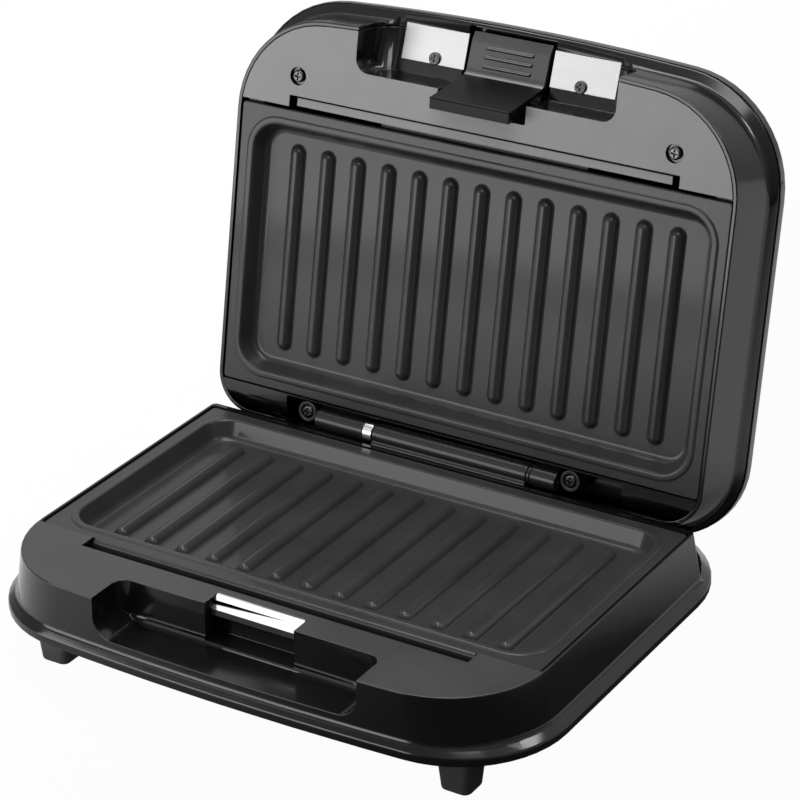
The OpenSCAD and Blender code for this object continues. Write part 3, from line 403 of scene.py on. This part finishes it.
def choose(kind, test):
    """Selects the VERTs, EDGEs or FACEs of the open piece that pass the test, and counts them."""
    bpy.ops.mesh.select_mode(type=kind)
    bpy.ops.mesh.select_all(action="DESELECT")
    mesh = bmesh.from_edit_mesh(bpy.context.object.data)
    chosen = [item for item in {"VERT": mesh.verts, "EDGE": mesh.edges, "FACE": mesh.faces}[kind]
              if test(item)]
    for item in chosen:
        item.select_set(True)
    bmesh.update_edit_mesh(bpy.context.object.data)
    return len(chosen)


def middle(item):
    """The middle of an edge or face, in millimetres."""
    return sum((vertex.co for vertex in item.verts), Vector()) / len(item.verts) / MM


def level(item, height):
    """True if all of an edge or face lies at that height in millimetres."""
    return all(abs(vertex.co.z / MM - height) < 0.005 for vertex in item.verts)


# %% Joining and copying


def join(name, *pieces):
    """Makes one object of several."""
    only(*pieces)
    bpy.ops.object.join()
    bpy.context.object.name = bpy.context.object.data.name = name
    return bpy.context.object


def applied():
    """The active object, once its place, turn and size are written into its mesh."""
    bpy.ops.object.transform_apply(location=True, rotation=True, scale=True)
    return bpy.context.object


def copies(piece, places):
    """The piece itself at the first place, and a copy with its own mesh at each other one."""
    made = [piece]
    for _ in places[1:]:
        only(piece)
        bpy.ops.object.duplicate()
        made.append(bpy.context.object)
    for one, where in zip(made, places):
        one.location = Vector(where) * MM
        only(one)
        bpy.ops.object.transform_apply(location=True, rotation=False, scale=False)
    return made


# %% Starting shapes


def block(low, high):
    """A box between two corners in millimetres."""
    low, high = Vector(low) * MM, Vector(high) * MM
    bpy.ops.object.select_all(action="DESELECT")
    bpy.ops.mesh.primitive_cube_add(size=1, location=(low + high) / 2, scale=high - low)
    return applied()


def drum(radius, low, high, centre=(0, 0), sides=32):
    """An upright cylinder from one height to another, in millimetres."""
    bpy.ops.object.select_all(action="DESELECT")
    bpy.ops.mesh.primitive_cylinder_add(
        vertices=sides, radius=radius * MM, depth=(high - low) * MM,
        location=Vector((centre[0], centre[1], (low + high) / 2)) * MM)
    return applied()


def bar(radius, x0, x1, y, z, sides=32):
    """A cylinder that lies along x, in millimetres."""
    bpy.ops.object.select_all(action="DESELECT")
    bpy.ops.mesh.primitive_cylinder_add(
        vertices=sides, radius=radius * MM, depth=(x1 - x0) * MM, rotation=(0, math.pi / 2, 0),
        location=Vector(((x0 + x1) / 2, y, z)) * MM)
    return applied()


# %% Modifiers, and settling a finished piece


def modifier(piece, kind, **values):
    """Adds a modifier with these values and applies it."""
    only(piece)
    bpy.ops.object.modifier_add(type=kind)
    added = piece.modifiers[-1]
    for key, value in values.items():
        setattr(added, key, value)
    bpy.ops.object.modifier_apply(modifier=added.name)


def cut(piece, cutter):
    """Cuts one piece out of another and removes the cutter."""
    modifier(piece, "BOOLEAN", operation="DIFFERENCE", solver="EXACT", object=cutter)
    bpy.data.objects.remove(cutter)


def settle(piece, where, body, node, angle=35):
    """Puts a finished piece in its place on its body, where it stands for this solid. Edges that
    turn by more than the angle, in degrees, stay sharp."""
    piece.matrix_world = where
    only(piece)
    applied()
    bpy.ops.object.shade_smooth_by_angle(angle=math.radians(angle))
    modifier(piece, "WEIGHTED_NORMAL", keep_sharp=True, weight=80)
    piece.data.materials.clear()
    piece.data.materials.append(finishes[slots[node]])
    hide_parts(node)
    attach(piece, body)
    mesh = bmesh.new()
    mesh.from_mesh(piece.data)
    loose = sum(1 for edge in mesh.edges if not edge.is_manifold)
    print(f"{piece.name}: {len(piece.data.polygons)} faces, open edges {loose}")
    mesh.free()
    return piece


# %% [markdown]
# ## Casings with rounded edges
# The casings are injection moulded, and no edge of a moulding is really sharp: the thin light lines
# along the rims in the photograph are those small radii. Each casing is a copy of its solid whose
# loose triangles are merged into one skin. Then the long sharp edges are bevelled, and weighted
# normals keep the large faces flat beside them. Short edges, at screw holes for instance, are left
# alone, since a bevel would eat them up. Modelling the casings again from nothing would risk walls
# that no longer fit the solids.

# %% A rounded copy of a solid
MERGE_DISTANCE = 2e-6
FLAT_WITHIN = math.radians(0.6)
SHARP_FROM = math.radians(28)


def rounded_copy(name, node, body, width, least=0.7, smooth=35, split=None):
    """A merged copy of a solid with its long sharp edges rounded by this width in millimetres.
    An edge is long where no edge at its ends is shorter than least. The faces are split along a
    plane, given as a point and a direction, where a second finish will begin."""
    only(frame["nodes"][node])
    bpy.ops.object.duplicate()
    piece = bpy.context.object
    piece.name = piece.data.name = name
    for key in list(piece.keys()):
        del piece[key]
    piece.parent = None
    edit(piece)
    bpy.ops.mesh.select_all(action="SELECT")
    bpy.ops.mesh.remove_doubles(threshold=MERGE_DISTANCE)
    bpy.ops.mesh.dissolve_limited(angle_limit=FLAT_WITHIN)

    def long_and_sharp(edge):
        if len(edge.link_faces) != 2 or edge.calc_face_angle(0) < SHARP_FROM:
            return False
        return all(near.calc_length() > least * MM
                   for end in edge.verts for near in end.link_edges)

    rounded = choose("EDGE", long_and_sharp)
    if width:
        bpy.ops.mesh.bevel(offset=width * MM, segments=2, clamp_overlap=False, miter_outer="ARC",
                           affect="EDGES")
    if split:
        bpy.ops.mesh.select_all(action="SELECT")
        bpy.ops.mesh.bisect(plane_co=split[0], plane_no=split[1])
    leave()
    print(name, "edges rounded:", rounded)
    return settle(piece, Matrix(), body, node, angle=smooth)


def second_finish(piece, material, where, test):
    """Gives the faces that pass the test another finish, by their measured place and direction."""
    piece.data.materials.append(material)
    measured = where.inverted()
    changed = 0
    for face in piece.data.polygons:
        if test(measured @ face.center / MM, measured.to_3x3() @ face.normal):
            face.material_index = 1
            changed += 1
    print(piece.name, "faces with the second finish:", changed)


# %% [markdown]
# ### Five casings
# They are the base casing, its tray, the lid's shell, its top cover and its inner frame. The land
# of the base, which is the broad face in front of the plate, is satin, while its walls and its
# finger pocket are glossy. So it is in the lid's frame, where the land is satin and the rim beside
# the plate and the walls of the pocket are glossy.

# %% Casings
base_moulding = rounded_copy("base_moulding", "lower_casing", "base", 0.3,
                             split=(place(0, -0.4, 0), ACROSS))
second_finish(base_moulding, satin_land, ON_BASE,
              lambda at, to: at.y < -0.3 and at.z > -0.4 and to.z > 0.8)
rounded_copy("tray_moulding", "bottom_tray", "base", 0.4)
rounded_copy("lid_moulding", "lid_shell", "lid", 0.3)
rounded_copy("cover_moulding", "lid_cover", "lid", 0.4)
# The lid's satin land keeps the light grey satin finish, which is painted light.
lid_lining = rounded_copy("lid_lining", "lid_frame", "lid", 0.3)
second_finish(lid_lining, finishes["gloss_black"], IN_LID,
              lambda at, to: at.y > -0.6 or at.z > 1.2 or to.z > -0.6)

# %% [markdown]
# ## Cooking plates
# Each plate is an aluminium casting with a non-stick coating: a flat rim, a rounded bead, a hollow
# with a leaning wall and thirteen ribs with ball ends. Everything on it has soft edges, which a
# highlight follows. It starts as a flat sheet with round corners. Insetting its face again and
# again, each time a little lower or higher, draws the whole profile from bead to floor, and keeps
# the corners round by itself.

# %% A sheet with round corners


def round_sheet(margin, radius, height, segments=12):
    """A flat sheet that far inside the plate's outline, open in edit mode, in millimetres."""
    bpy.ops.object.select_all(action="DESELECT")
    bpy.ops.mesh.primitive_plane_add(size=MM, location=(0, PLATE_D / 2 * MM, height * MM))
    bpy.context.object.scale = (PLATE_W - 2 * margin, PLATE_D - 2 * margin, 1)
    piece = applied()
    edit(piece)
    bpy.ops.mesh.select_all(action="SELECT")
    bpy.ops.mesh.bevel(offset=radius * MM, segments=segments, affect="VERTICES")
    choose("FACE", lambda face: True)
    return piece


def step_inwards(line):
    """Insets the selected face along a line of (distance inwards, height) points."""
    for (margin, height), (next_margin, next_height) in zip(line, line[1:]):
        bpy.ops.mesh.inset(thickness=(next_margin - margin) * MM,
                           depth=(next_height - height) * MM)


def raise_by(height):
    """Extrudes what is selected straight up by this many millimetres."""
    bpy.ops.mesh.extrude_region_move(TRANSFORM_OT_translate={"value": (0, 0, height * MM)})


def round_edges(width, segments):
    """Bevels the selected edges by this width in millimetres."""
    bpy.ops.mesh.bevel(offset=width * MM, segments=segments, affect="EDGES")


# %% Bead, wall and floor of the hollow
FLOOR = -8.2
RIM = -0.6
FACE_MARGIN, FACE_RADIUS = 3.8, 15.4
FACE_LINE = [(FACE_MARGIN, RIM), (3.9, -0.38), (4.15, -0.17), (4.55, -0.04), (5.1, 0.0),
             (6.2, 0.0), (6.7, -0.07), (7.05, -0.26), (7.3, -0.6), (7.5, -1.2), (9.3, -6.0),
             (9.7, -6.9), (10.4, -7.6), (11.3, -8.05), (12.4, FLOOR)]
hollow = round_sheet(FACE_MARGIN, FACE_RADIUS, RIM)
step_inwards(FACE_LINE)
leave()
print("hollow:", len(hollow.data.polygons), "faces")

# %% [markdown]
# ### Edge and underside
# Seen from the side the casting is a thin rim with a deeper pan under it. Both are sheets with
# round corners, pulled up to their height, with their lower or upper edge rounded. Their large
# faces are taken off, and two filled rings then join hollow, rim and pan into one closed skin.

# %% Rim
EDGE_FOOT, EDGE_CORNER = -3.4, 1.5
edge = round_sheet(0, EDGE_CORNER, EDGE_FOOT, 4)
raise_by(RIM - EDGE_FOOT)
choose("EDGE", lambda e: level(e, RIM))
round_edges(0.5, 3)
choose("FACE", lambda face: len(face.verts) > 8)
bpy.ops.mesh.delete(type="ONLY_FACE")
leave()

# %% Pan
PAN_FOOT, PAN_MARGIN, PAN_RADIUS = -10.6, 6.6, 12
pan = round_sheet(PAN_MARGIN, PAN_RADIUS, PAN_FOOT)
raise_by(EDGE_FOOT - PAN_FOOT)
choose("EDGE", lambda e: level(e, PAN_FOOT))
round_edges(1.5, 3)
choose("FACE", lambda face: len(face.verts) > 8 and level(face, EDGE_FOOT))
bpy.ops.mesh.delete(type="ONLY_FACE")
leave()

# %% One skin
casting = join("casting", hollow, edge, pan)
edit(casting)
for height in (RIM, EDGE_FOOT):
    choose("EDGE", lambda e: e.is_boundary and level(e, height))
    bpy.ops.mesh.fill(use_beauty=True)
bpy.ops.mesh.select_all(action="SELECT")
bpy.ops.mesh.normals_make_consistent(inside=False)
leave()
print("casting:", len(casting.data.polygons), "faces")

# %% [markdown]
# ### Ribs and posts
# A rib is a half round bar with ball ends and a small fillet at its foot. A circle is pulled
# lengthwise to the shape of a running track, lifted out of the floor, and inset step by step along
# a quarter round. The posts under the casting take its screws, so each one gets a bore.

# %% One rib, and thirteen of them
RIB_COUNT, RIB_PITCH, RIB_LENGTH, RIB_HALF = 13, 15.1, 91, 3.2
FILLET, ROOT = 0.9, 0.5
RIB_LINE = [(4.1, 0.0), (3.72, 0.07), (3.42, 0.27), (3.24, 0.58), (3.12, 0.95), (2.9, 1.36),
            (2.6, 1.84), (2.18, 2.32), (1.62, 2.75), (1.0, 3.04), (0.35, 3.18)]
bpy.ops.object.select_all(action="DESELECT")
bpy.ops.mesh.primitive_circle_add(vertices=24, radius=(RIB_HALF + FILLET) * MM, fill_type="NGON",
                                  rotation=(0, 0, math.radians(7.5)))
rib = applied()
edit(rib)
for way in (-1, 1):
    choose("VERT", lambda v: v.co.y * way > 0)
    bpy.ops.transform.translate(value=(0, way * (RIB_LENGTH / 2 - RIB_HALF) * MM, 0))
choose("FACE", lambda face: True)
bpy.ops.transform.translate(value=(0, 0, (FLOOR - ROOT) * MM))
raise_by(ROOT)
for (reach, height), (next_reach, next_height) in zip(RIB_LINE, RIB_LINE[1:]):
    bpy.ops.mesh.inset(thickness=(reach - next_reach) * MM, depth=(next_height - height) * MM)
leave()
ribs = copies(rib, [((i - (RIB_COUNT - 1) / 2) * RIB_PITCH, PLATE_D / 2, 0)
                    for i in range(RIB_COUNT)])
print("ribs:", len(ribs), "with", len(rib.data.polygons), "faces each")

# %% Posts with their bores
SCREW_BORE = 1.45
POST_X, POST_Y, STAND_X = 98, 22, 60


def post(radius, foot, bore_depth):
    """A post under the casting with a bore for a screw, in millimetres."""
    piece = drum(radius, foot, PAN_FOOT + 1)
    edit(piece)
    choose("FACE", lambda face: level(face, foot))
    bpy.ops.mesh.inset(thickness=(radius - SCREW_BORE) * MM, depth=0)
    raise_by(bore_depth)
    leave()
    return piece


posts = copies(post(4, -16.0, 5.4), [(x, y, 0) for x in (-POST_X, POST_X)
                                     for y in (POST_Y, PLATE_D - POST_Y)])
stands = copies(post(3.5, -18.8, 7), [(x, PLATE_D / 2, 0) for x in (-STAND_X, STAND_X)])
casting = join("casting", casting, *ribs, *posts, *stands)

# %% [markdown]
# ### Two plates from one casting
# The upper plate is the same casting turned over. The lower one also has a drip lip along its
# front edge, which carries spilt butter over the gap to the casing.

# %% Upper and lower plate
only(casting)
bpy.ops.object.duplicate()
upper_casting = bpy.context.object
upper_casting.name = "upper_casting"
turned = Matrix.Rotation(math.pi, 4, "Y")
settle(upper_casting, IN_LID @ turned, "lid", "upper_plate")

LIP_HALF, LIP_FRONT, LIP_TOP = 89, -2.2, -0.63
lip = block((-LIP_HALF, LIP_FRONT, EDGE_FOOT), (LIP_HALF, 0.45, LIP_TOP))
edit(lip)
choose("EDGE", lambda e: middle(e).y < -2 and middle(e).z > -1 and abs(middle(e).x) < 1)
round_edges(1.9, 5)
leave()
lower_casting = join("lower_casting", casting, lip)
settle(lower_casting, ON_BASE, "base", "lower_plate")

# %% [markdown]
# ## Latch
# The latch is one bent plate of satin plastic: a thumb plate with three grip ribs, a straight arm,
# and a hook that reaches under the catch. It starts as a single edge. Extruding that edge from fold
# to fold gives a thin sheet, the folds are bevelled round, and Solidify gives the sheet its
# thickness. Two bosses behind it take the pin that it turns on.

# %% Bent plate
LATCH_W, LATCH_T = 37.2, 2.2
LATCH_LINE = [(-43.9, 23.9), (-40.7, 22.0), (-26.7, 18.9), (-20.2, -9.6), (-15.4, -9.3)]
FOLDS = {1: 1.2, 2: 2.4, 3: 0.8}
bpy.ops.object.select_all(action="DESELECT")
bpy.ops.mesh.primitive_plane_add(size=LATCH_W * MM)
latch_plate = bpy.context.object
edit(latch_plate)
choose("VERT", lambda v: v.co.y > 0)
bpy.ops.mesh.delete(type="VERT")
bpy.ops.mesh.select_all(action="SELECT")
bpy.ops.transform.translate(value=(0, LATCH_LINE[0][0] * MM + LATCH_W / 2 * MM,
                                   LATCH_LINE[0][1] * MM))
for (y, z), (next_y, next_z) in zip(LATCH_LINE, LATCH_LINE[1:]):
    bpy.ops.mesh.extrude_region_move(
        TRANSFORM_OT_translate={"value": (0, (next_y - y) * MM, (next_z - z) * MM)})
for number, radius in FOLDS.items():
    y, z = LATCH_LINE[number]
    choose("EDGE", lambda e: abs(middle(e).y - y) < 0.01 and abs(middle(e).z - z) < 0.01)
    round_edges(radius, 5)
bpy.ops.mesh.select_all(action="SELECT")
bpy.ops.mesh.normals_make_consistent(inside=False)
leave()
upward = sum(face.normal.z * face.area for face in latch_plate.data.polygons) > 0
modifier(latch_plate, "SOLIDIFY", thickness=LATCH_T * MM, offset=1 if upward else -1,
         use_even_offset=True)
modifier(latch_plate, "BEVEL", width=0.35 * MM, segments=3, limit_method="ANGLE",
         angle_limit=math.radians(50))

# %% Grip ribs
GRIP_RADIUS, GRIP_HALF = 0.95, 10.6
bpy.ops.object.select_all(action="DESELECT")
bpy.ops.mesh.primitive_uv_sphere_add(segments=20, ring_count=12, radius=GRIP_RADIUS * MM,
                                     rotation=(0, math.pi / 2, 0))
grip = applied()
edit(grip)
for way in (-1, 1):
    choose("VERT", lambda v: v.co.x * way > 1e-6)
    bpy.ops.transform.translate(value=(way * GRIP_HALF * MM, 0, 0))
leave()
(back_y, back_z), (front_y, front_z) = LATCH_LINE[2], LATCH_LINE[1]
grips = copies(grip, [(0, back_y + t * (front_y - back_y), back_z + t * (front_z - back_z))
                      for t in (0.28, 0.55, 0.82)])

# %% Pivot bosses
PIN_Y, PIN_Z, PIN_BORE, BOSS_RADIUS = -20.4, 19.4, 1.05, 2.8
BOSS_SPAN = (10.6, LATCH_W / 2)
WEB_Y, WEB_FOOT, WEB_TOP = -25.7, 16.8, 20.2
pivots = []
for way in (-1, 1):
    inner, outer = sorted(way * x for x in BOSS_SPAN)
    boss = bar(BOSS_RADIUS, inner, outer, PIN_Y, PIN_Z)
    web = block((inner, WEB_Y, WEB_FOOT), (outer, PIN_Y, WEB_TOP))
    cut(boss, bar(PIN_BORE, inner - 1, outer + 1, PIN_Y, PIN_Z, 24))
    pivots += [boss, web]
latch_piece = join("bent_latch", latch_plate, *grips, *pivots)
settle(latch_piece, ON_LID, "latch", "latch")
# Painted light: the thumb plate's faces take the lighter copy of the latch plastic.
second_finish(latch_piece, thumb_painted_light, ON_LID, lambda at, to: at.y < -26.5 and to.y < 0.2)

# %% [markdown]
# ## Screws
# The screws that show are small black cross-heads. The head is a low drum with a rounded rim. Two
# crossed bars, each drawn in at its foot, are cut out of it one after the other and leave the
# recess for the screwdriver.

# %% One screw
HEAD_R, HEAD_H = 2.7, 1.8
SHANK_R = 1.4
CROSS_LONG, CROSS_HALF, CROSS_TAPER = 1.7, 0.42, 0.7


def cross_head(length, top):
    """A screw pointing down, its head's foot at -HEAD_H and its head's top at this height."""
    depth = top + HEAD_H
    head = drum(HEAD_R, -HEAD_H, top)
    edit(head)
    choose("EDGE", lambda e: level(e, top))
    round_edges(0.5 * depth, 6)
    leave()
    recess = top - 0.7 * depth
    for x, y in ((CROSS_LONG, CROSS_HALF), (CROSS_HALF, CROSS_LONG)):
        cutter = block((-x, -y, recess), (x, y, top + 0.2))
        edit(cutter)
        choose("FACE", lambda face: level(face, recess))
        bpy.ops.transform.resize(value=(CROSS_TAPER, CROSS_TAPER, 1))
        leave()
        cut(head, cutter)
    tip = -HEAD_H - length
    shank = drum(SHANK_R, tip, -HEAD_H + 0.2, sides=16)
    edit(shank)
    choose("FACE", lambda face: level(face, tip))
    bpy.ops.mesh.inset(thickness=0.9 * MM, depth=0)
    leave()
    return join("screw", head, shank)


# %% Where the screws sit
FACING_DOWN = Matrix.Rotation(math.pi, 4, "X")
POCKET_FLOOR = (Matrix.Translation(Vector((0, -22, 18.6)) * MM)
                @ Matrix.Rotation(math.radians(-9.6), 4, "X"))
LAND_SCREWS = [(x, -15.2, -0.4) for x in (-88.8, 88.8)]
POCKET_SCREWS = [(x, -7.7, -HEAD_H) for x in (-34.6, 34.6)]
BRACKET_SCREWS = [(x, 130, 1) for x in (-71.5, 58)]
FEET = [(x, y) for y in (-20, 135) for x in (-94.2, 94.2)]


def screw_set(name, node, body, where, length, points, top=0.0):
    """Screws of one kind at these points, as one piece."""
    made = []
    for point in points:
        screw = cross_head(length, top)
        screw.matrix_world = Matrix.Translation(Vector(point) * MM) @ FACING_DOWN
        only(screw)
        made.append(applied())
    settle(join(name, *made), where, body, node)


screw_set("land_screws", "frame_screws", "lid", IN_LID, 11, LAND_SCREWS)
screw_set("pocket_screws", "trim_screws", "lid", IN_LID @ POCKET_FLOOR, 5, POCKET_SCREWS, top=-0.8)
screw_set("bracket_screws", "hinge_screws", "lid", ON_LID, 17, BRACKET_SCREWS)
screw_set("feet_screws", "foot_screws", "base", ON_BASE, 13, [(x, y, -33) for x, y in FEET])

# %% [markdown]
# ## Hinge, catch and steel plates
# These pieces are small and already have the right shape, so they get the same treatment as the
# casings, with a narrower rounding. The two plates beside the latch are brushed. The catch isn't
# rounded. Its ramp, which the latch's hook slides over, is bright steel, and the faces of the catch
# below the ramp get the dark semi-gloss plastic finish.

# %% Rounded copies of the small pieces
rounded_copy("barrel", "hinge_barrel", "base", 0.35, least=0.3)
rounded_copy("left_knuckle", "left_hinge_bracket", "lid", 0.35, least=0.3)
rounded_copy("right_knuckle", "right_hinge_bracket", "lid", 0.35, least=0.3)
rounded_copy("bright_bush", "left_hinge_bush", "lid", 0.25, least=0.3)
rounded_copy("dark_washer", "right_hinge_washer", "lid", 0.2, least=0.3)
for name, node in (("left_steel_plate", "left_trim_plate"),
                   ("right_steel_plate", "right_trim_plate")):
    steel_plate = rounded_copy(name, node, "lid", 0.12, least=0.3)
    steel_plate.data.materials[0] = brushed_steel
RAMP_FOOT = -4.5
catch_steel = rounded_copy("catch_steel", "catch_plate", "base", 0, smooth=10,
                           split=(place(0, 0, RAMP_FOOT), UP))
second_finish(catch_steel, finishes["hinge_plastic"], ON_BASE, lambda at, to: at.z < RAMP_FOOT)
rounded_copy("gland", "cord_gland", "base", 0.3, least=0.3)

# %% [markdown]
# ## Feet
# Four tapered plastic feet carry the base. A block is drawn in at its bottom, its upright edges are
# rounded, and a stepped bore from below takes the screw.

# %% One foot, and four of them
FOOT_H, FOOT_TOP, FOOT_BOTTOM = 19.8, 16.4, 13.0
HEAD_BORE, SHANK_BORE, SEAT = 3.4, 1.6, 4
foot = block((-FOOT_TOP / 2, -FOOT_TOP / 2, 0), (FOOT_TOP / 2, FOOT_TOP / 2, FOOT_H))
edit(foot)
choose("FACE", lambda face: level(face, 0))
bpy.ops.transform.resize(value=(FOOT_BOTTOM / FOOT_TOP, FOOT_BOTTOM / FOOT_TOP, 1))
choose("EDGE", lambda e: abs(e.verts[0].co.z - e.verts[1].co.z) > 0.01)
round_edges(3.2, 6)
choose("EDGE", lambda e: level(e, 0))
round_edges(0.9, 3)
leave()
cut(foot, drum(HEAD_BORE, -1, FOOT_H - SEAT))
cut(foot, drum(SHANK_BORE, 0, FOOT_H + 1, sides=24))
feet = copies(foot, [(x, y, -RIM_HEIGHT) for x, y in FEET])
foot_nodes = ("front_left_foot", "front_right_foot", "rear_left_foot", "rear_right_foot")
for one, node in zip(feet, foot_nodes):
    one.name = node + "_moulding"
    settle(one, ON_BASE, "base", node)

# %% [markdown]
# ## Pilot lamps
# Two small lenses stand in the top of the lid, red for power and green for ready. They don't show
# from the front of the open toaster. Each is a drum whose top is inset into a low dome.

# %% Two lenses
LENS_R, LENS_FOOT, LENS_TOP, LENS_Y = 3, 25.3, 29.9, -18
COLLAR_R, COLLAR_TOP = 4, 28.3
DOME = ((0.25, 0.22), (0.5, 0.15), (0.8, 0.1), (0.8, 0.03))
for name, node, x in (("red_lens_dome", "power_lamp", -9), ("green_lens_dome", "ready_lamp", 9)):
    lens = drum(LENS_R, LENS_FOOT, LENS_TOP, (x, LENS_Y))
    edit(lens)
    choose("FACE", lambda face: level(face, LENS_TOP))
    for inwards, upwards in DOME:
        bpy.ops.mesh.inset(thickness=inwards * MM, depth=upwards * MM)
    leave()
    flange = drum(COLLAR_R, LENS_FOOT, COLLAR_TOP, (x, LENS_Y))
    settle(join(name, lens, flange), IN_LID, "lid", node)

# %% [markdown]
# ## Smooth curves on the rest
# The pieces that stay as solids, most of them inside the casings, come in as flat facets. Smooth
# shading bends the light over facets that nearly line up and keeps real edges sharp, without a
# change to the mesh itself.

# %% Smooth shading
shown = [solid for solid in frame["nodes"].values() if not solid.hide_render]
only(*shown)
bpy.ops.object.shade_smooth_by_angle(angle=math.radians(25))
bpy.ops.object.select_all(action="DESELECT")
print("solids still shown:", len(shown))
